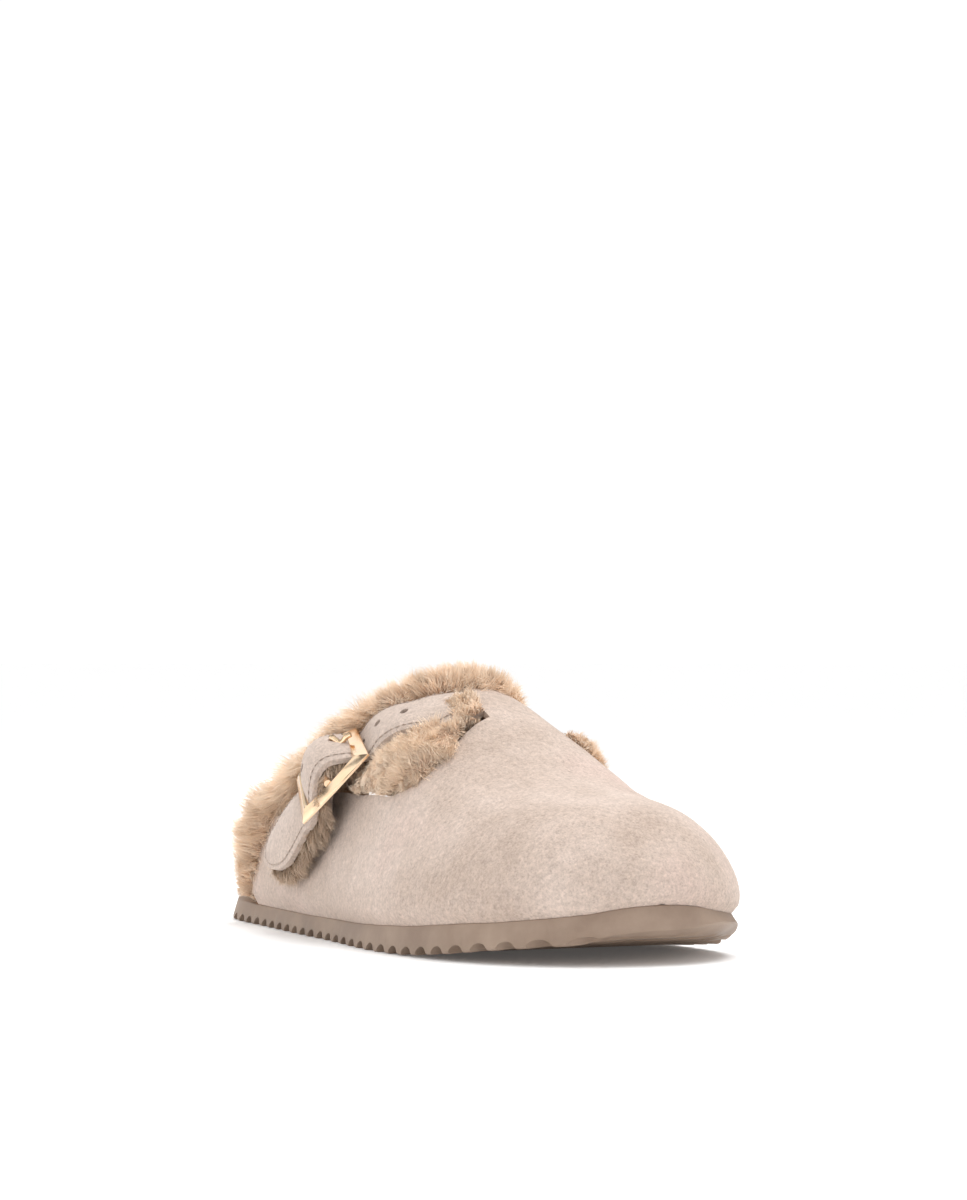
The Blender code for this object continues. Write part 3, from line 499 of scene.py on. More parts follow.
def cut_now(piece, cutters, smooth_below):
    """Takes the cutters away from the piece, applies the cuts and smooths again."""
    for cutter in cutters:
        modifier = piece.modifiers.new("cut", "BOOLEAN")
        modifier.operation = "DIFFERENCE"
        modifier.solver = "EXACT"
        modifier.object = cutter
    graph = bpy.context.evaluated_depsgraph_get()
    done = bpy.data.meshes.new_from_object(piece.evaluated_get(graph), depsgraph=graph)
    piece.modifiers.clear()
    piece.data = done
    done.shade_smooth()
    done.set_sharp_from_angle(angle=math.radians(smooth_below))
    for cutter in cutters:
        bpy.data.objects.remove(cutter)


def make_upper():
    bm = bmesh.new()
    rows, columns = 88, 84
    skins = []
    for inset in (0.0, UPPER_WALL):
        grid = []
        toe = bm.verts.new(upper_point(1.0, 0.0, inset))
        for i in range(rows + 1):
            across = -1 + 2 * i / rows
            back = smooth(COLLAR, across)
            line = []
            for j in range(columns):
                along = back + (1 - back) * math.sin(math.pi / 2 * j / columns) ** 0.9
                point = upper_point(along, across, inset)
                if inset == 0.0 and 0 < i < rows:
                    # The soft leather isn't quite even over the last
                    wave = noise.noise(point * 28.0) + 0.5 * noise.noise(point * 62.0)
                    point += upper_normal(along, across) * wave * SURFACE_WAVE * min(j / 6, 1)
                if i in (0, rows):
                    point.z -= SEAM_OVERLAP
                line.append(bm.verts.new(point))
            grid.append(line + [toe])
        skins.append(grid)
    for grid in skins:
        for i in range(rows):
            bridge(bm, grid[i], grid[i + 1])
    face, lining = skins
    bridge(bm, [line[0] for line in face], [line[0] for line in lining])
    bridge(bm, face[0], lining[0])
    bridge(bm, face[-1], lining[-1])
    piece = show(bm, "suede_upper", suede, "suede", ("upper",), 45, True)
    cutters = []
    for name, table, steps in (("outer_cut", OUTER_OPENING, 110), ("inner_cut", INNER_SLOT, 60)):
        bm = bmesh.new()
        slab(bm, lambda u, v, lift, table=table: opening_point(table, u, v, lift), steps, 10, -0.008, 0.004)
        cutters.append(show(bm, name, None, None, split=True))
    cut_now(piece, cutters, 45)


make_upper()


# The sole
# One moulding of soft rubber, a darker taupe than the suede, satin, with slightly
# cloudy colour. The ribs across the tread show at its side.
SIDE_DRAFT = 0.0014
EDGE_ROUND = 0.0012
RIB_COUNT = 29
GROOVE_WIDTH = 0.0060
GROOVE_DEPTH = 0.0025
BEVEL = 0.0047
BEVEL_RUN = 0.010
TOE_BEVEL = [
    (0.84, 0.0, 0.0), (0.90, 0.0, 0.62), (0.94, 0.0, 1.0), (0.974, 0.0, 1.0),
    (0.988, 0.40, 0.86), (1.0, 0.60, 0.60),
]

sole_material, tree, shader = new_material("sole rubber")
where = add_node(tree, "ShaderNodeTexCoord")
cloud = add_node(tree, "ShaderNodeTexNoise", Scale=60.0, Detail=5.0, Roughness=0.6)
pores = add_node(tree, "ShaderNodeTexNoise", Scale=2600.0, Detail=2.0)
ramp = two_tone(tree, 0.35, (0.255, 0.178, 0.130), 0.70, (0.355, 0.262, 0.198))
bump = add_node(tree, "ShaderNodeBump", Strength=0.25, Distance=0.0002)
gloss = add_node(tree, "ShaderNodeMapRange", From_Min=0.3, From_Max=0.7, To_Min=0.42, To_Max=0.6)
wire(
    tree,
    (where, "Object", cloud, "Vector"), (where, "Object", pores, "Vector"), (cloud, "Fac", ramp, "Fac"),
    (ramp, "Color", shader, "Base Color"), (cloud, "Fac", gloss, "Value"), (gloss, "Result", shader, "Roughness"),
    (pores, "Fac", bump, "Height"), (bump, "Normal", shader, "Normal"),
)
set_values(shader, Specular_IOR_Level=0.4)


def make_sole():
    bm = bmesh.new()

    def edge(along, side):
        return sole_bottom(along) + BEVEL * smooth(TOE_BEVEL, along, 1 if side < 0 else 2)

    levels = [
        (BEVEL_RUN, lambda s, side: sole_bottom(s)),
        (BEVEL_RUN * 0.55, lambda s, side: sole_bottom(s) * 0.72 + edge(s, side) * 0.28),
        (EDGE_ROUND * 1.6, lambda s, side: sole_bottom(s) * 0.16 + edge(s, side) * 0.84),
        (EDGE_ROUND * 0.6, edge),
        (EDGE_ROUND * 0.15, lambda s, side: edge(s, side) + EDGE_ROUND * 0.25),
        (0.0, lambda s, side: edge(s, side) + EDGE_ROUND * 0.7),
        (SIDE_DRAFT, lambda s, side: sole_top(s) - EDGE_ROUND / 2),
        (SIDE_DRAFT + EDGE_ROUND * 0.15, lambda s, side: sole_top(s) - EDGE_ROUND * 0.15),
        (SIDE_DRAFT + EDGE_ROUND / 2, lambda s, side: sole_top(s)),
    ]
    add_plan_solid(bm, levels, 150)
    sole = show(bm, "sole", sole_material, "sole", ("outsole",), 35, True)
    bm = bmesh.new()
    profile = [(math.cos(math.pi * (1 - k / 12)) / 2, math.sin(math.pi * k / 12) ** 1.15) for k in range(13)]
    for i in range(RIB_COUNT):
        place = (FIRST_GROOVE + i * RIB_PITCH) / SOLE_LENGTH
        floor_here, y = sole_bottom(place), toe_to_heel(place)
        rows = []
        for x in (-BALL_WIDTH, BALL_WIDTH):
            row = [bm.verts.new((x, y - w * GROOVE_WIDTH, floor_here + h * GROOVE_DEPTH)) for w, h in profile]
            row.insert(0, bm.verts.new((x, y + GROOVE_WIDTH / 2, floor_here - 0.003)))
            row.append(bm.verts.new((x, y - GROOVE_WIDTH / 2, floor_here - 0.003)))
            rows.append(row)
        bridge(bm, rows[0] + rows[0][:1], rows[1] + rows[1][:1])
        bm.faces.new(rows[0])
        bm.faces.new(rows[1])
    cut_now(sole, [show(bm, "grooves", None, None, split=True)], 35)


make_sole()


# The strap
# Two layers of suede, crowned, with a stitched line along both edges and round the
# tip, and punched holes. It rises from the instep, passes under the buckle's upper
# bar, over its centre bar and under the lower bar.
STRAP_THICKNESS = 0.0022
STRAP_CROWN = 0.0012
TIP_RADIUS = 0.0126
HOLE_RADIUS = 0.0014
HOLE_PITCH = 0.0094
HOLE_FROM_BAR = 0.0066
STRAP_PRESSED = 0.0011
STRAP_SWELL = 0.0040
LINE_INSET = 0.0019
BUCKLE_LENGTH = 0.0290
STRAP = [
    # back across, back along, back lift, front across, front along, front lift
    (-0.062, 0.589, -0.0016, -0.062, 0.641, -0.0016),
    (-0.129, 0.584, -0.0014, -0.129, 0.644, -0.0014),
    (-0.254, 0.569, -0.0007, -0.254, 0.644, -0.0008),
    (-0.371, 0.521, -0.0002, -0.446, 0.599, 0.0019),
    (-0.454, 0.490, -0.0004, -0.529, 0.573, 0.0020),
    (-0.504, 0.472, 0.0002, -0.571, 0.558, 0.0030),
    (-0.529, 0.461, 0.0026, -0.604, 0.547, 0.0058),
    (-0.582, 0.448, 0.0060, -0.654, 0.532, 0.0094),
    (-0.632, 0.446, 0.0070, -0.712, 0.529, 0.0100),
    (-0.690, 0.420, 0.0058, -0.787, 0.499, 0.0080),
    (-0.768, 0.362, 0.0062, -0.880, 0.446, 0.0062),
    (-0.862, 0.310, 0.0060, -0.945, 0.396, 0.0052),
]


def strap_frames():
    """(run, middle, along the strap, out, across, half width) down the strap's underside."""
    rows = [(i, *row) for i, row in enumerate(STRAP)]

    def edges(at):
        back, front = (
            lifted(smooth(rows, at, c + 1), smooth(rows, at, c), smooth(rows, at, c + 2)) for c in (1, 4)
        )
        return back, front

    count = 150
    frames = []
    run = 0.0
    before = None
    for k in range(count + 1):
        at = k / count * (len(STRAP) - 1)
        back, front = edges(at)
        middle = (back + front) / 2
        ahead, behind = edges(min(at + 0.1, len(STRAP) - 1)), edges(max(at - 0.1, 0))
        down = sum(ahead, Vector()) - sum(behind, Vector())
        side = (front - back).normalized()
        down = (down - side * down.dot(side)).normalized()
        if before is not None:
            run += (middle - before).length
        before = middle
        frames.append((run, middle, down, down.cross(side), side, (front - back).length / 2))
    return frames


FRAMES = strap_frames()
STRAP_LENGTH = FRAMES[-1][0]
BUCKLE_FROM = STRAP_LENGTH * 0.372
BUCKLE_TO = BUCKLE_FROM + 0.0312


def strap_frame(run):
    """(middle, down, out, side, half width) at a distance from the strap's root."""
    if run >= STRAP_LENGTH:
        _, point, down, out, side, half = FRAMES[-1]
        return point + down * (run - STRAP_LENGTH), down, out, side, half
    i = max(k for k in range(len(FRAMES) - 1) if FRAMES[k][0] <= max(run, 0))
    a, b = FRAMES[i], FRAMES[i + 1]
    t = (run - a[0]) / (b[0] - a[0])
    point, down, out, side = (a[k].lerp(b[k], t) for k in (1, 2, 3, 4))
    return point, down.normalized(), out.normalized(), side.normalized(), a[5] + (b[5] - a[5]) * t


def on_strap(run, side, height):
    """A point across and above the strap's underside, which is crowned across its width."""
    point, _, out, across, half = strap_frame(run)
    crown = STRAP_CROWN * (1 - (side / half) ** 2)
    # The end bars press the strap down, and it swells between them
    at_upper = math.exp(-(((run - BUCKLE_FROM) / 0.0045) ** 2))
    at_lower = math.exp(-(((run - BUCKLE_TO + 0.002) / 0.0045) ** 2))
    between = math.exp(-(((run - BUCKLE_FROM - 0.0145) / 0.0085) ** 2))
    swell = STRAP_SWELL * between * (1 - 0.35 * (side / half) ** 2)
    crown += swell - (STRAP_PRESSED + crown * 0.7) * max(at_upper, at_lower)
    return point + across * side + out * (height + crown)


def strap_half(run):
    """Half the strap's width, rounded off at its tip."""
    half = strap_frame(run)[4]
    left = STRAP_LENGTH - run
    if left >= TIP_RADIUS:
        return half
    return half * math.sqrt(max(1 - (1 - left / TIP_RADIUS) ** 2, 0.0))


def buckle_axes(p):
    """(place on the buckle's middle line, up it, out, across) at p up from its centre.
    The line joins the strap's underside below the two end bars."""
    upper, _, out_upper, side_upper, _ = strap_frame(BUCKLE_FROM)
    lower, _, out_lower, side_lower, _ = strap_frame(BUCKLE_TO)
    up = (upper - lower).normalized()
    t = 0.5 - p / BUCKLE_LENGTH
    side = side_upper.lerp(side_lower, t).normalized()
    out = side.cross(up).normalized()
    if out.dot(out_upper) < 0:
        out = -out
    return (upper + lower) / 2 + up * p, up, out, side


def buckle_point(p, w, height):
    middle, up, out, side = buckle_axes(p)
    turn = BUCKLE_TURN * (0.5 - p / BUCKLE_LENGTH)
    side = side * math.cos(turn) + up * math.sin(turn)
    return middle + side * (w + BUCKLE_FORWARD) + out * height


def strap_under(p):
    """(distance down the strap, height, offset across) where the strap passes p."""
    middle, up, out, side = buckle_axes(p)
    low, high = BUCKLE_FROM - 0.03, BUCKLE_TO + 0.03
    for _ in range(30):
        run = (low + high) / 2
        if (on_strap(run, 0, 0) - middle).dot(up) > 0:
            low = run
        else:
            high = run
    away = on_strap(run, 0, 0) - middle
    return run, away.dot(out), away.dot(side)


PRONG_HOLE = strap_under(HOLE_FROM_BAR)[0]


def make_strap():
    bm = bmesh.new()
    steps, columns = 150, 16
    line = bm.verts.layers.float.new("line")

    def place(run, v, level):
        side = (v * 2 - 1) * strap_half(run)
        root = min(max(run, 0) / 0.012, 1)
        edge = 1 - 0.22 * abs(v * 2 - 1) ** 6 * (1 if level > 0 else 0)
        drop = 0.0010 * (1 - root)
        point = on_strap(max(run, 0), side, level * edge - drop)
        return point + strap_frame(0)[1] * min(run, 0)

    levels = []
    for level in (0.0, STRAP_THICKNESS):
        grid = []
        for i in range(steps + 1):
            run = -0.0016 + (STRAP_LENGTH + 0.0016) * math.sin(math.pi / 2 * i / steps)
            row = []
            for j in range(columns + 1):
                vert = bm.verts.new(place(run, j / columns, level))
                half = strap_half(max(run, 0))
                side = abs(j / columns * 2 - 1) * half
                left = STRAP_LENGTH - run
                inner = strap_frame(max(run, 0))[4]
                if left < TIP_RADIUS:
                    # The line turns round the tip on an arc
                    from_edge = TIP_RADIUS - math.hypot(side * TIP_RADIUS / inner, TIP_RADIUS - left)
                else:
                    from_edge = half - side
                vert[line] = from_edge
                row.append(vert)
            grid.append(row)
        levels.append(grid)
    under, over = levels
    for i in range(steps):
        bridge(bm, under[i], under[i + 1])
        bridge(bm, over[i], over[i + 1])
    bridge(bm, under[0], over[0])
    bridge(bm, [row[0] for row in under], [row[0] for row in over])
    bridge(bm, [row[-1] for row in under], [row[-1] for row in over])
    piece = show(bm, "strap_suede", strap_suede, "suede", ("strap",), 50, True)
    cutters = []
    for k in range(5):
        run = PRONG_HOLE + (k - 3) * HOLE_PITCH
        bm = bmesh.new()
        bmesh.ops.create_cone(bm, cap_ends=True, segments=20, radius1=HOLE_RADIUS, radius2=HOLE_RADIUS, depth=0.012)
        turn = strap_frame(run)[2].to_track_quat("Z", "Y").to_matrix().to_4x4()
        bmesh.ops.transform(bm, matrix=turn, verts=bm.verts)
        bmesh.ops.translate(bm, vec=on_strap(run, 0, STRAP_THICKNESS / 2), verts=bm.verts)
        cutters.append(show(bm, f"hole_{k}", None, None))
    cut_now(piece, cutters, 50)


strap_suede, nap, shader = suede_finish("strap suede", (0.59, 0.485, 0.42), (0.50, 0.40, 0.34), (0.54, 0.42, 0.36))
tree = strap_suede.node_tree
line = add_node(tree, "ShaderNodeAttribute", attribute_name="line")
away = add_node(tree, "ShaderNodeMath", operation="SUBTRACT")
away.inputs[1].default_value = LINE_INSET
size = add_node(tree, "ShaderNodeMath", operation="ABSOLUTE")
# Darker within about half a millimetre of the stitched line: the nap pressed flat there, and painted shade for its
# groove
pressed = add_node(tree, "ShaderNodeMapRange", From_Min=0.0, From_Max=0.00055, To_Min=0.72, To_Max=1.0)
darker = add_node(tree, "ShaderNodeVectorMath", operation="SCALE")
wire(
    tree,
    (line, "Fac", away, 0), (away, "Value", size, 0), (size, "Value", pressed, "Value"),
    (nap, "Color", darker, 0), (pressed, "Result", darker, "Scale"), (darker, "Vector", shader, "Base Color"),
)
make_strap()


# The strap's stitches
# A matt thread of nearly the suede's colour, in short stitches that sit in the
# pressed line about 2 mm from the edge.
STITCH_PITCH = 0.0023
STITCH_HALF = 0.0008
STITCH_WIDE = 0.00021
STITCH_THICK = 0.00015

thread, tree, shader = new_material("thread")
where = add_node(tree, "ShaderNodeTexCoord")
twist = add_node(tree, "ShaderNodeTexNoise", Scale=2400.0, Detail=1.0)
ramp = two_tone(tree, 0.35, (0.36, 0.27, 0.215), 0.65, (0.56, 0.45, 0.375))
wire(tree, (where, "Object", twist, "Vector"), (twist, "Fac", ramp, "Fac"), (ramp, "Color", shader, "Base Color"))
set_values(shader, Roughness=0.8)


def make_stitches():
    bm = bmesh.new()
    path = []
    for sign in (-1, 1):
        row = []
        for k in range(60):
            run = 0.004 + (STRAP_LENGTH - TIP_RADIUS - 0.004) * k / 59
            row.append((run, sign * (strap_frame(run)[4] - LINE_INSET)))
        path.append(row)
    turn = []
    half = strap_frame(STRAP_LENGTH - TIP_RADIUS / 2)[4]
    for k in range(1, 30):
        angle = math.pi * k / 30
        run = STRAP_LENGTH - TIP_RADIUS + (TIP_RADIUS - LINE_INSET) * math.sin(angle)
        turn.append((run, -(half - LINE_INSET) * math.cos(angle)))
    spots = path[0] + turn + path[1][::-1]
    places = [on_strap(run, side, STRAP_THICKNESS * 0.97) for run, side in spots]
    outs = [strap_frame(run)[2] for run, _ in spots]
    lengths = [0.0]
    for a, b in zip(places, places[1:]):
        lengths.append(lengths[-1] + (b - a).length)
    at = 0.0006
    while at < lengths[-1] - 0.0024:
        k = max(i for i in range(len(lengths) - 1) if lengths[i] <= at)
        t = (at - lengths[k]) / (lengths[k + 1] - lengths[k])
        middle = places[k].lerp(places[k + 1], t)
        forward = (places[k + 1] - places[k]).normalized()
        out = outs[k]
        aside = forward.cross(out).normalized()
        rings = []
        for s, size in ((-1, 0.15), (-0.7, 0.8), (0, 1), (0.7, 0.8), (1, 0.15)):
            centre = middle + forward * s * STITCH_HALF + out * 0.0001 * (1 - s * s)
            wide, thick = aside * STITCH_WIDE * size, out * STITCH_THICK * size
            turns = [math.pi * q / 3 for q in range(6)]
            rings.append([bm.verts.new(centre + wide * math.cos(a) + thick * math.sin(a)) for a in turns])
        for a, b in zip(rings, rings[1:]):
            bridge(bm, a + a[:1], b + b[:1])
        at += STITCH_PITCH
    show(bm, "strap_stitches", thread, "suede", smooth_below=180)


make_stitches()


# The buckle
# A cast frame plated in pale rose gold, mirror bright, its bars bevelled to a ridge
# near the inner edge, with a thin prong that rests on the upper bar.
BUCKLE_WIDTH = 0.0267
BUCKLE_SIDE_BAR = 0.0034
BUCKLE_END_BAR = 0.0046
BUCKLE_HEIGHT = 0.0025
BUCKLE_ARCH = 0.0008
BUCKLE_BULGE = 0.0026
BUCKLE_TILT = 0.0012
BUCKLE_SUNK = 0.0012
BUCKLE_FORWARD = 0.0021
BUCKLE_TURN = math.radians(-4)
CENTRE_BAR_RADIUS = 0.0012
PRONG_RADIUS = 0.0009
TAB_THICKNESS = 0.001
CENTRE_BAR_LIFT = strap_under(0)[1] - CENTRE_BAR_RADIUS - TAB_THICKNESS - 4.5 * CLEARANCE


def buckle_floor(p):
    """Underside of the frame, pressed into the nap where the end bars cross the strap."""
    ends = STRAP_CROWN + STRAP_THICKNESS - BUCKLE_SUNK + BUCKLE_TILT * (0.5 - p / BUCKLE_LENGTH)
    return ends + BUCKLE_ARCH * (1 - (2 * p / BUCKLE_LENGTH) ** 2)


def add_tube(bm, points, radius, sides):
    """A round bar along a few points, closed at both ends."""
    rings = []
    reference = Vector((0, 0, 1))
    for i, point in enumerate(points):
        ahead = points[min(i + 1, len(points) - 1)] - points[max(i - 1, 0)]
        ahead.normalize()
        first = ahead.cross(reference).normalized()
        second = ahead.cross(first)
        ring = []
        for k in range(sides):
            turn = 2 * math.pi * k / sides
            ring.append(bm.verts.new(point + (first * math.cos(turn) + second * math.sin(turn)) * radius))
        rings.append(ring)
    for a, b in zip(rings, rings[1:]):
        bridge(bm, a + a[:1], b + b[:1])
    bm.faces.new(rings[0])
    bm.faces.new(rings[-1])


gold, tree, shader = new_material("pale gold")
where = add_node(tree, "ShaderNodeTexCoord")
smudge = add_node(tree, "ShaderNodeTexNoise", Scale=180.0, Detail=3.0)
scratch = add_node(tree, "ShaderNodeTexNoise", Scale=900.0, Detail=2.0)
polish = add_node(tree, "ShaderNodeMapRange", From_Min=0.3, From_Max=0.7, To_Min=0.10, To_Max=0.22)
bump = add_node(tree, "ShaderNodeBump", Strength=0.06, Distance=0.0002)
tint = two_tone(tree, 0.3, (0.93, 0.66, 0.42), 0.7, (0.97, 0.75, 0.53))
wire(
    tree,
    (where, "Object", smudge, "Vector"), (where, "Object", scratch, "Vector"),
    (smudge, "Fac", polish, "Value"), (smudge, "Fac", tint, "Fac"), (tint, "Color", shader, "Base Color"),
    (polish, "Result", shader, "Roughness"), (scratch, "Fac", bump, "Height"), (bump, "Normal", shader, "Normal"),
)
set_values(shader, Metallic=1.0)


def make_buckle():
    bm = bmesh.new()
    half_long, half_wide = BUCKLE_LENGTH / 2, BUCKLE_WIDTH / 2
    section = [(0.0, 0.0), (0.0, 0.66), (0.05, 0.76), (0.24, 0.98), (0.30, 1.0), (0.95, 0.36), (1.0, 0.26), (1.0, 0.0)]
    corners = [(1, 1), (1, -1), (-1, -1), (-1, 1)]
    per_side = 28
    loops = []
    for across_bar, height in section:
        loop = []
        long = half_long - BUCKLE_END_BAR * (1 - across_bar)
        wide = half_wide - BUCKLE_SIDE_BAR * (1 - across_bar)
        for (p0, w0), (p1, w1) in zip(corners, corners[1:] + corners[:1]):
            for k in range(per_side):
                t = k / per_side
                p, w = (p0 + (p1 - p0) * t) * long, (w0 + (w1 - w0) * t) * wide
                if abs(w) > wide * 0.999:
                    w += math.copysign(BUCKLE_BULGE * (1 - (p / long) ** 2), w)
                lift = buckle_floor(p) + height * BUCKLE_HEIGHT
                if height == 0.0 and across_bar == 0.0:
                    lug = math.exp(-((p / 0.0022) ** 2))
                    lift += (CENTRE_BAR_LIFT - CENTRE_BAR_RADIUS - 0.0002 - lift) * lug
                loop.append(bm.verts.new(buckle_point(p, w, lift)))
        loops.append(loop)
    for first, second in zip(loops, loops[1:] + loops[:1]):
        bridge(bm, first + first[:1], second + second[:1])
    reach = half_wide + BUCKLE_BULGE - BUCKLE_SIDE_BAR * 0.8
    add_tube(bm, [buckle_point(0, -reach, CENTRE_BAR_LIFT), buckle_point(0, reach, CENTRE_BAR_LIFT)],
             CENTRE_BAR_RADIUS, 20)
    show(bm, "buckle_gold", gold, "gold", ("buckle_frame",), 24)


def make_prong():
    bm = bmesh.new()
    half_long = BUCKLE_LENGTH / 2
    rest = half_long - BUCKLE_END_BAR * 0.74
    bar_top = buckle_floor(rest) + BUCKLE_HEIGHT
    aside = strap_under(HOLE_FROM_BAR)[2]
    out = strap_frame(PRONG_HOLE)[2]
    hole = on_strap(PRONG_HOLE, 0, STRAP_THICKNESS / 2)
    reach = STRAP_THICKNESS / 2 + PRONG_RADIUS
    points = [
        buckle_point(CENTRE_BAR_RADIUS + PRONG_RADIUS + CLEARANCE, aside, CENTRE_BAR_LIFT),
        on_strap(PRONG_HOLE + 0.0030, 0, -PRONG_RADIUS - 2 * CLEARANCE),
        hole - out * reach,
        hole + out * reach,
        buckle_point(rest - 0.0018, aside, bar_top + PRONG_RADIUS + 2.6 * CLEARANCE),
        buckle_point(rest + 0.0008, aside, bar_top + PRONG_RADIUS + 2.6 * CLEARANCE),
        buckle_point(rest + 0.0026, aside, bar_top + PRONG_RADIUS + CLEARANCE),
    ]
    curve = []
    for i in range(len(points) - 1):
        before, after = points[max(i - 1, 0)], points[min(i + 2, len(points) - 1)]
        for k in range(6):
            t = k / 6
            a, b = points[i], points[i + 1]
            curve.append(0.5 * ((2 * a) + (b - before) * t + (2 * before - 5 * a + 4 * b - after) * t * t
                                + (3 * a - before - 3 * b + after) * t**3))
    curve.append(points[-1])
    add_tube(bm, curve, PRONG_RADIUS, 14)
    show(bm, "prong_gold", gold, "gold", ("buckle_prong",), 60)


make_buckle()
make_prong()
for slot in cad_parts["buckle_tab"].material_slots:
    slot.material = suede


# The fur
# Long woolly pile, tan, darkened towards the roots with painted shade and paled at the
# tips with painted light. Its hairs stand in locks that lean away from the suede. Each
# hair is a thin tapered blade, and a felt under them closes the gaps.
COLLAR_FUR_REACH = 0.011
COLLAR_FUR_OUT = 0.0022
FUR_INNER_DEPTH = 0.0042
SLOT_FUR_MARGIN = 0.0009
UNDER_STRAP = -0.0037
COLLAR_GAP = 0.0009
HAIR_WIDTH = 0.00026


def opening_limits(table, u, to_collar):
    """The shares across a cut-out between which its fur lies."""
    vamp, back = opening_point(table, u, 0, 0), opening_point(table, u, 1, 0)
    edge = SLOT_FUR_MARGIN / max((back - vamp).length, 0.001)
    if not to_collar:
        return edge, 1 - edge
    low, high = 0.0, 1.0
    for _ in range(20):
        middle = (low + high) / 2
        across, along = opening_place(table, u, middle)
        if along - smooth(COLLAR, across) > COLLAR_GAP / SOLE_LENGTH:
            low = middle
        else:
            high = middle
    return edge, low


def fur_finish(name, root, middle, tip):
    material, tree, shader = new_material(name)
    height = add_node(tree, "ShaderNodeAttribute", attribute_name="height")
    tone = add_node(tree, "ShaderNodeAttribute", attribute_name="tone")
    where = add_node(tree, "ShaderNodeTexCoord")
    cloud = add_node(tree, "ShaderNodeTexNoise", Scale=130.0, Detail=3.0)
    # From root to tip: painted shade deep in the pile, painted light on the tips
    ramp = two_tone(tree, 0.0, root, 1.0, tip)
    ramp.color_ramp.elements.new(0.45).color = (*middle, 1)
    vary = add_node(tree, "ShaderNodeMath", operation="MULTIPLY_ADD")
    vary.inputs[1].default_value = 0.5
    bright = add_node(tree, "ShaderNodeMapRange", From_Min=0.25, From_Max=1.15, To_Min=0.74, To_Max=1.12)
    out = add_node(tree, "ShaderNodeVectorMath", operation="SCALE")
    wire(
        tree,
        (where, "Object", cloud, "Vector"), (height, "Fac", ramp, "Fac"), (tone, "Fac", vary, 0),
        (cloud, "Fac", vary, 2), (vary, "Value", bright, "Value"), (ramp, "Color", out, 0),
        (bright, "Result", out, "Scale"), (out, "Vector", shader, "Base Color"),
    )
    set_values(shader, Roughness=0.62, Specular_IOR_Level=0.3, Sheen_Weight=0.25, Sheen_Tint=(1.0, 0.9, 0.75, 1))
    return material


fur = fur_finish("fur", (0.68, 0.465, 0.32), (0.95, 0.73, 0.545), (1.0, 0.85, 0.69))
# A darker copy of the fur with painted shade, for hair that lies under the strap and inside the upper
shaded_fur = fur_finish("shaded fur", (0.10, 0.06, 0.035), (0.44, 0.31, 0.215), (0.78, 0.62, 0.48))
felt = suede_finish("felt", (0.70, 0.50, 0.36), (0.54, 0.37, 0.25), (0.62, 0.435, 0.30))[0]


def patch(place, rows, columns):
    """A grid of points over a surface, with its normals and its direction along v."""
    grid = np.array([[place(i / rows, j / columns) for j in range(columns + 1)] for i in range(rows + 1)])
    along_u, along_v = np.gradient(grid, axis=0), np.gradient(grid, axis=1)
    normal = np.cross(along_u, along_v)
    normal /= np.linalg.norm(normal, axis=2, keepdims=True) + 1e-12
    along_v /= np.linalg.norm(along_v, axis=2, keepdims=True) + 1e-12
    return grid, normal, along_v


def scatter(fields, count, draw):
    """Random places, even over the surface: the fields' values there."""
    grid = fields[0]
    sizes = np.linalg.norm(
        np.cross(grid[1:, :-1] - grid[:-1, :-1], grid[:-1, 1:] - grid[:-1, :-1]), axis=2
    )
    cells = draw.choice(sizes.size, count, p=(sizes / sizes.sum()).ravel())
    i, j = np.unravel_index(cells, sizes.shape)
    a, b = draw.random((2, count, 1))
    return [
        (f[i, j] * (1 - a) + f[i + 1, j] * a) * (1 - b) + (f[i, j + 1] * (1 - a) + f[i + 1, j + 1] * a) * b
        for f in fields
    ]


def unit(v):
    return v / (np.linalg.norm(v, axis=-1, keepdims=True) + 1e-12)


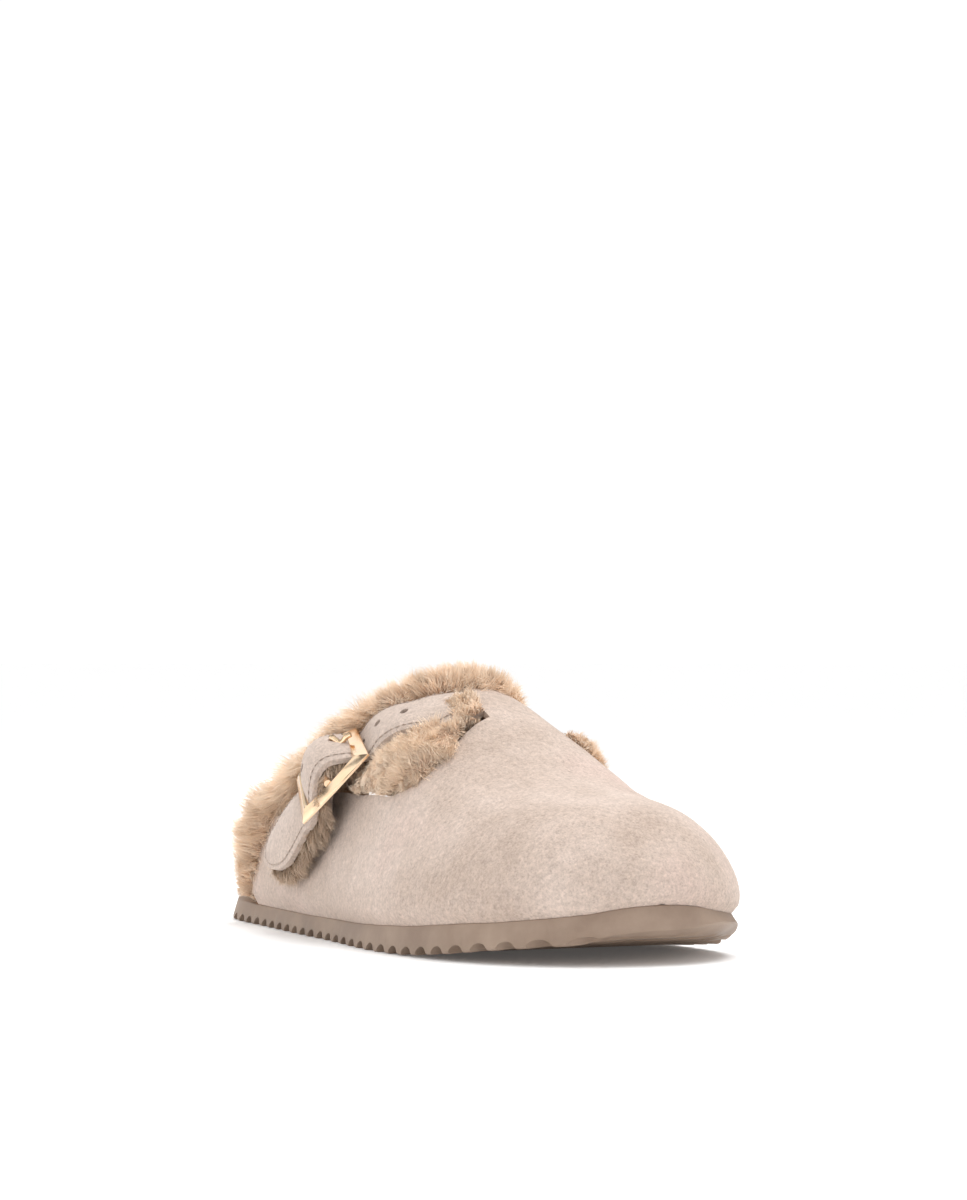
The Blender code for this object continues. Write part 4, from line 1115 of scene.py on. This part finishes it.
def grow(name, roots, lean, length, draw, material, gather=0.6, wave=0.0004, droop=0.0, spread=0.28):
    """Hairs at the roots along lean, gathered towards the axis of the nearest lock."""
    count = len(roots)
    reach = length * (0.55 + 0.75 * draw.random((count, 1)))
    lean = unit(lean + draw.normal(0, spread, (count, 3)))
    locks = max(int(count * 0.02), 8)
    chosen = draw.choice(count, locks, replace=False)
    tree = kdtree.KDTree(locks)
    for k, i in enumerate(chosen):
        tree.insert(Vector(roots[i]), k)
    tree.balance()
    nearest = np.array([tree.find(Vector(r))[1] for r in roots])
    axis_root, axis_lean = roots[chosen][nearest], lean[chosen][nearest]
    steps = (0.0, 0.34, 0.68, 1.0)
    swing = unit(draw.normal(0, 1, (locks, 3)))[nearest]
    phase = draw.random((locks, 1))[nearest] * 6.3
    points = []
    for t in steps:
        own = roots + lean * reach * t
        shared = axis_root + axis_lean * reach * t + (roots - axis_root) * 0.25
        pull = gather * t**1.3
        p = own * (1 - pull) + shared * pull
        p = p + swing * wave * np.sin(phase + t * 5.0) * t
        p[:, 2] -= droop * t * t * reach[:, 0]
        points.append(p)
    points = np.stack(points, 1)
    along = unit(points[:, 2] - points[:, 0])
    flat = unit(np.cross(along, draw.normal(0, 1, (count, 3))))
    half = HAIR_WIDTH / 2 * np.array([1.0, 0.85, 0.55])
    left = points[:, :3] - flat[:, None] * half[None, :, None]
    right = points[:, :3] + flat[:, None] * half[None, :, None]
    vertices = np.concatenate([left, right, points[:, 3:]], 1).reshape(-1, 3)
    base = np.arange(count)[:, None] * 7
    faces = np.concatenate([
        base + [0, 3, 4], base + [0, 4, 1], base + [1, 4, 5], base + [1, 5, 2], base + [2, 5, 6]
    ], 1).reshape(-1, 3)
    mesh = bpy.data.meshes.new(name)
    mesh.vertices.add(len(vertices))
    mesh.vertices.foreach_set("co", vertices.ravel())
    mesh.loops.add(faces.size)
    mesh.loops.foreach_set("vertex_index", faces.ravel())
    mesh.polygons.add(len(faces))
    mesh.polygons.foreach_set("loop_start", np.arange(0, faces.size, 3))
    mesh.polygons.foreach_set("use_smooth", np.ones(len(faces), bool))
    mesh.update(calc_edges=True)
    heights = np.tile([0.0, 0.34, 0.68, 0.0, 0.34, 0.68, 1.0], count).astype(np.float32)
    tones = np.repeat(draw.random(count) * 0.55 + draw.random(locks)[nearest] * 0.45, 7).astype(np.float32)
    for key, values in (("height", heights), ("tone", tones)):
        mesh.attributes.new(key, "FLOAT", "POINT").data.foreach_set("value", values)
    mesh.materials.append(material)
    piece = bpy.data.objects.new(name, mesh)
    bpy.context.scene.collection.objects.link(piece)
    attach(piece, "root")


def surface(grid, name, nodes=(), close=False):
    """The grid of points as a smooth sheet, or as a closed roll."""
    bm = bmesh.new()
    rows = [[bm.verts.new(p) for p in line] for line in grid]
    for a, b in zip(rows, rows[1:]):
        bridge(bm, a + a[:1] if close else a, b + b[:1] if close else b)
    if close:
        bm.faces.new(rows[0])
        bm.faces.new(rows[-1])
    show(bm, name, felt, "fur", nodes, 180)


# The collar's fur
# The lining's pile rolled out past the upper's back edge, from the sole on the
# outer side over the instep to the sole on the inner side.
def collar_place(u, v, depth=0.0):
    across = -0.985 + 1.97 * u
    reach = COLLAR_FUR_REACH * (1 - 0.25 * abs(across) ** 6) - 2 * depth
    turn = math.pi * (-0.35 + 1.75 * v)
    behind = COLLAR_GAP + depth * 0.6 + reach * (1 - math.cos(turn)) / 2
    middle = (COLLAR_FUR_OUT - FUR_INNER_DEPTH) / 2
    thick = (COLLAR_FUR_OUT + FUR_INNER_DEPTH) / 2 - depth
    return lifted(smooth(COLLAR, across) - behind / SOLE_LENGTH, across, middle + thick * math.sin(turn))


def swirl(roots, draw):
    """A lay of the hair that turns slowly from place to place."""
    turn = draw.random(9) * 6.3
    x, y, z = (roots * 520).T
    return np.stack([
        np.sin(x * 0.9 + turn[0]) + np.cos(y * 1.1 + turn[1]),
        np.sin(y * 0.8 + turn[2]) + np.cos(z * 1.2 + turn[3]),
        np.sin(z + turn[4]) + np.cos(x * 0.8 + turn[5]),
    ], 1) * 0.6


def make_collar_fur():
    roll = [[collar_place(i / 110, (2 * j / 16 + 0.35) / 1.75, 0.0012) for j in range(16)] for i in range(111)]
    surface(roll, "collar_felt", ("collar_fur",), close=True)
    fields = patch(lambda u, v: collar_place(u, v, 0.0012), 110, 22)
    draw = np.random.default_rng(11)
    place = np.repeat(np.linspace(0, 1, 111)[:, None, None], 23, 1)
    for name, half in (("collar_hair_outer", slice(0, 58)), ("collar_hair_inner", slice(54, 111))):
        roots, normal, over, where = scatter([f[half] for f in (*fields, place)], 33000, draw)
        if np.mean(np.sum(normal * (roots - np.array([0, -0.02, 0.0])), 1)) < 0:
            normal = -normal
        lean = normal * 0.75 + over * 0.5 + np.array([0, 0.12, 0.10]) + swirl(roots, draw) * 0.32
        longer = 0.0058 + 0.0030 * np.clip((0.36 - where) / 0.2, 0, 1)
        longer *= np.clip(0.35 + where / 0.13, 0, 1)
        grow(name, roots, lean, longer, draw, fur, gather=0.62, wave=0.0013)


make_collar_fur()


# The fur in the cut-outs
# Where the suede is cut away the lining swells out: a thick curly tuft in front of
# the strap on the outer side and a smaller one in the inner slot.
def tuft_fields(table, span, to_collar, steps, columns, swell_by):
    rows = [(i, *row) for i, row in enumerate(table)]

    def place(u, v):
        u = span[0] + (span[1] - span[0]) * u
        first, last = opening_limits(table, u, to_collar)
        share = first + (last - first) * v
        shown = smooth(rows, u * (len(table) - 1), 5)
        swell = 0.0
        if shown > 0.02 and share < shown:
            ends = min((u - span[0]) * 9, (span[1] - u) * 9, 1)
            swell = max(math.sin(math.pi * share / shown), 0) ** 0.6 * max(ends, 0) ** 0.5
        return opening_point(table, u, share, UNDER_STRAP + (swell_by - UNDER_STRAP) * swell)

    return patch(place, steps, columns)


def make_tuft(name, table, span, to_collar, node, count, length, seed, keep, comb, swell_by, cut, stop):
    """Felt over a cut-out and hair on its first rows, short before cut and past stop."""
    fields = tuft_fields(table, span, to_collar, 60, 24, swell_by)
    surface(fields[0], name + "_felt", (node,))
    draw = np.random.default_rng(seed)
    grid, normal, over = fields
    cells = slice(0, None), slice(0, keep)
    place = np.repeat(np.linspace(span[0], span[1], 61)[:, None, None], 25, 1)
    roots, normal, over, where = scatter([f[cells] for f in (grid, normal, over, place)], count, draw)
    outward = unit(roots - np.array([0, 0, 0.01]))
    normal = normal * np.sign(np.sum(normal * outward, 1, keepdims=True))
    lean = normal * 0.55 - over * 0.35 + np.array(comb) + swirl(roots, draw) * 0.75
    short = np.clip((where - cut) / 0.14, 0.3, 1) * np.clip((stop - where) / 0.10, 0.2, 1)
    grow(name + "_hair", roots, lean, length * short, draw, fur, gather=0.35, wave=0.0018, spread=0.4)


make_tuft("outer_tuft", OUTER_OPENING, (0.07, 0.985), True, "outer_fur", count=30000, length=0.0050, seed=21,
          keep=12, comb=(-0.1, -0.12, -0.05), swell_by=0.0034, cut=0.55, stop=0.90)
make_tuft("inner_tuft", INNER_SLOT, (0.05, 0.95), False, "inner_fur", count=9000, length=0.0026, seed=22,
          keep=25, comb=(0.0, -0.1, 0.1), swell_by=0.0012, cut=-1, stop=0.80)


def make_brow(count, first, last, deep, shift, seed):
    """The tuft's upper hairs, which fall back over the strap's front edge."""
    draw = np.random.default_rng(seed)
    roots, leans = [], []
    for _ in range(count):
        u = first + (last - first) * draw.random()
        across, along = opening_place(OUTER_OPENING, u, shift + deep * draw.random())
        full = max(min((u - first) / 0.08, 1) * min((last + 0.02 - u) / 0.10, 1), 0)
        roots.append(lifted(along, across, -0.0006 + 0.0030 * full * draw.random()))
        leans.append(upper_normal(along, across) * 0.8 + Vector((-0.12, 0.30, 0.02)))
    roots, leans = np.array(roots), np.array(leans)
    leans += swirl(roots, draw) * 0.45
    return roots, leans, draw


roots, leans, draw = make_brow(8000, 0.57, 0.80, 0.28, 0.04, 23)
more_roots, more_leans, _ = make_brow(3500, 0.88, 0.99, 0.30, 0.14, 24)
lengths = np.repeat([[0.0054], [0.0034]], (8000, 3500), 0)
grow("brow_hair", np.concatenate([roots, more_roots]), np.concatenate([leans, more_leans]), lengths, draw, fur,
     gather=0.4, wave=0.0018, spread=0.4)


# The strap's fur
# The strap is backed with the same pile, in the darker copy with painted shade. It stands out past
# both edges from the buckle to the tip, long and dark in front, where it lies in the strap's shade.
def make_strap_fur():
    first, last = BUCKLE_FROM + 0.002, STRAP_LENGTH - 0.0006
    draw = np.random.default_rng(31)

    def under(u, v):
        run = first + (last - first) * u
        half = strap_half(run)
        side = (v * 2 - 1) * (half - 0.0006)
        fade = min((run - first) / 0.02, 1)
        return on_strap(run, side, -0.0004 - 0.0018 * fade * (1 - (v * 2 - 1) ** 4))

    surface(patch(under, 60, 12)[0], "strap_felt", ("strap_fur",))
    roots, leans = [], []
    for sign, count in ((1, 9000), (-1, 3500)):
        for _ in range(count):
            run = first + (last - first) * draw.random() ** 0.9
            half = strap_half(run)
            frame_here = strap_frame(run)
            side = sign * (half - 0.0005 - 0.0035 * draw.random())
            point = on_strap(run, side, -0.0004 - 0.0022 * draw.random())
            lean = frame_here[3] * sign * 0.8 + frame_here[1] * 0.35 - frame_here[2] * 0.30
            roots.append(point)
            leans.append(lean)
    for _ in range(2500):
        angle = math.pi * draw.random()
        run = last - 0.010 + 0.009 * math.sin(angle)
        side = -math.cos(angle) * strap_half(run) * 0.9
        frame_here = strap_frame(run)
        roots.append(on_strap(run, side, -0.0004 - 0.0020 * draw.random()))
        ahead, aside = frame_here[1] * math.sin(angle), frame_here[3] * math.cos(angle) * 0.8
        leans.append(ahead - aside - frame_here[2] * 0.35)
    grow("strap_hair", np.array(roots), np.array(leans), 0.0058, draw, shaded_fur, gather=0.75, wave=0.0009)


make_strap_fur()


# The footbed
# A soft moulded bed under the same fur, raised into a rim and a heel cup. Its pile is
# shorter and trodden flat towards the toe.
FOOTBED_EDGE = 0.0048
FOOTBED_THICKNESS = 0.0052
FOOTBED_RIM = 0.0038
HEEL_CUP = 0.0065


def bed_height(along, rim):
    heel = max(0.30 - along, 0) / 0.30
    return sole_top(along) + CLEARANCE + FOOTBED_THICKNESS + rim * (FOOTBED_RIM + HEEL_CUP * heel**1.4)


def make_footbed():
    bm = bmesh.new()
    levels = [(FOOTBED_EDGE, lambda s, side: sole_top(s) + CLEARANCE)]
    levels.append((FOOTBED_EDGE, lambda s, side: bed_height(s, 1) - 0.0012))
    for k in range(9):
        t = k / 8
        rim = (1 - t) ** 1.8
        levels.append((FOOTBED_EDGE + 0.0008 + 0.0150 * t, lambda s, side, rim=rim: bed_height(s, rim)))
    add_plan_solid(bm, levels, 90)
    footbed = show(bm, "footbed", felt, "fur", ("insole",), 60)

    def place(u, v):
        along, side = 0.004 + 0.62 * u, v * 2 - 1
        edge = FOOTBED_EDGE + 0.0004
        outer, inner = plan_point(along, -1, edge, 0), plan_point(along, 1, edge, 0)
        point = outer.lerp(inner, v)
        from_edge = (1 - abs(side)) * (inner - outer).length / 2
        rim = max(1 - from_edge / 0.0155, 0) ** 1.8
        point.z = bed_height(along, rim)
        return point

    fields = patch(place, 80, 26)
    draw = np.random.default_rng(41)
    roots, normal, _ = scatter(fields, 24000, draw)
    normal = np.where(normal[:, 2:] < 0, -normal, normal)
    lean = normal * 0.7 + np.array([0, -0.55, 0.15])
    grow("footbed_hair", roots, lean, 0.0042, draw, fur, gather=0.5, droop=0.2)

    # Shorter pile down the wall round the heel
    roots, lean = [], []
    for _ in range(11000):
        along = 0.002 + 0.24 * draw.random() ** 1.5
        side = draw.choice((-1, 1))
        low, high = sole_top(along) + CLEARANCE, bed_height(along, 1)
        point = plan_point(along, side, FOOTBED_EDGE + 0.0004, low + (high - low) * (0.12 + 0.88 * draw.random()))
        roots.append(point)
        lean.append(plan_outward(along, side) * 0.9 + Vector((0, 0, -0.25)))
    grow("heel_hair", np.array(roots), np.array(lean), 0.0030, draw, fur, gather=0.5, droop=0.2)


make_footbed()


# The lining
# The same pile glued to the inside of the upper, seen from behind and above, in the darker copy with painted shade.
def make_lining():
    def place(u, v):
        across = -0.96 + 1.92 * u
        along = smooth(COLLAR, across) + 0.002 + 0.22 * v
        return upper_point(min(along, 0.97), across, UPPER_WALL + 0.0022)

    fields = patch(place, 80, 14)
    surface(fields[0], "lining_felt")
    draw = np.random.default_rng(51)
    roots, normal, over = scatter(fields, 12000, draw)
    inward = unit(np.array([0.0, 0.0, 0.03]) - roots * np.array([1, 0, 1]))
    normal = normal * np.sign(np.sum(normal * inward, 1, keepdims=True))
    lean = normal * 0.7 - over * 0.6
    grow("lining_hair", roots, lean, 0.0050, draw, shaded_fur, gather=0.5)


make_lining()
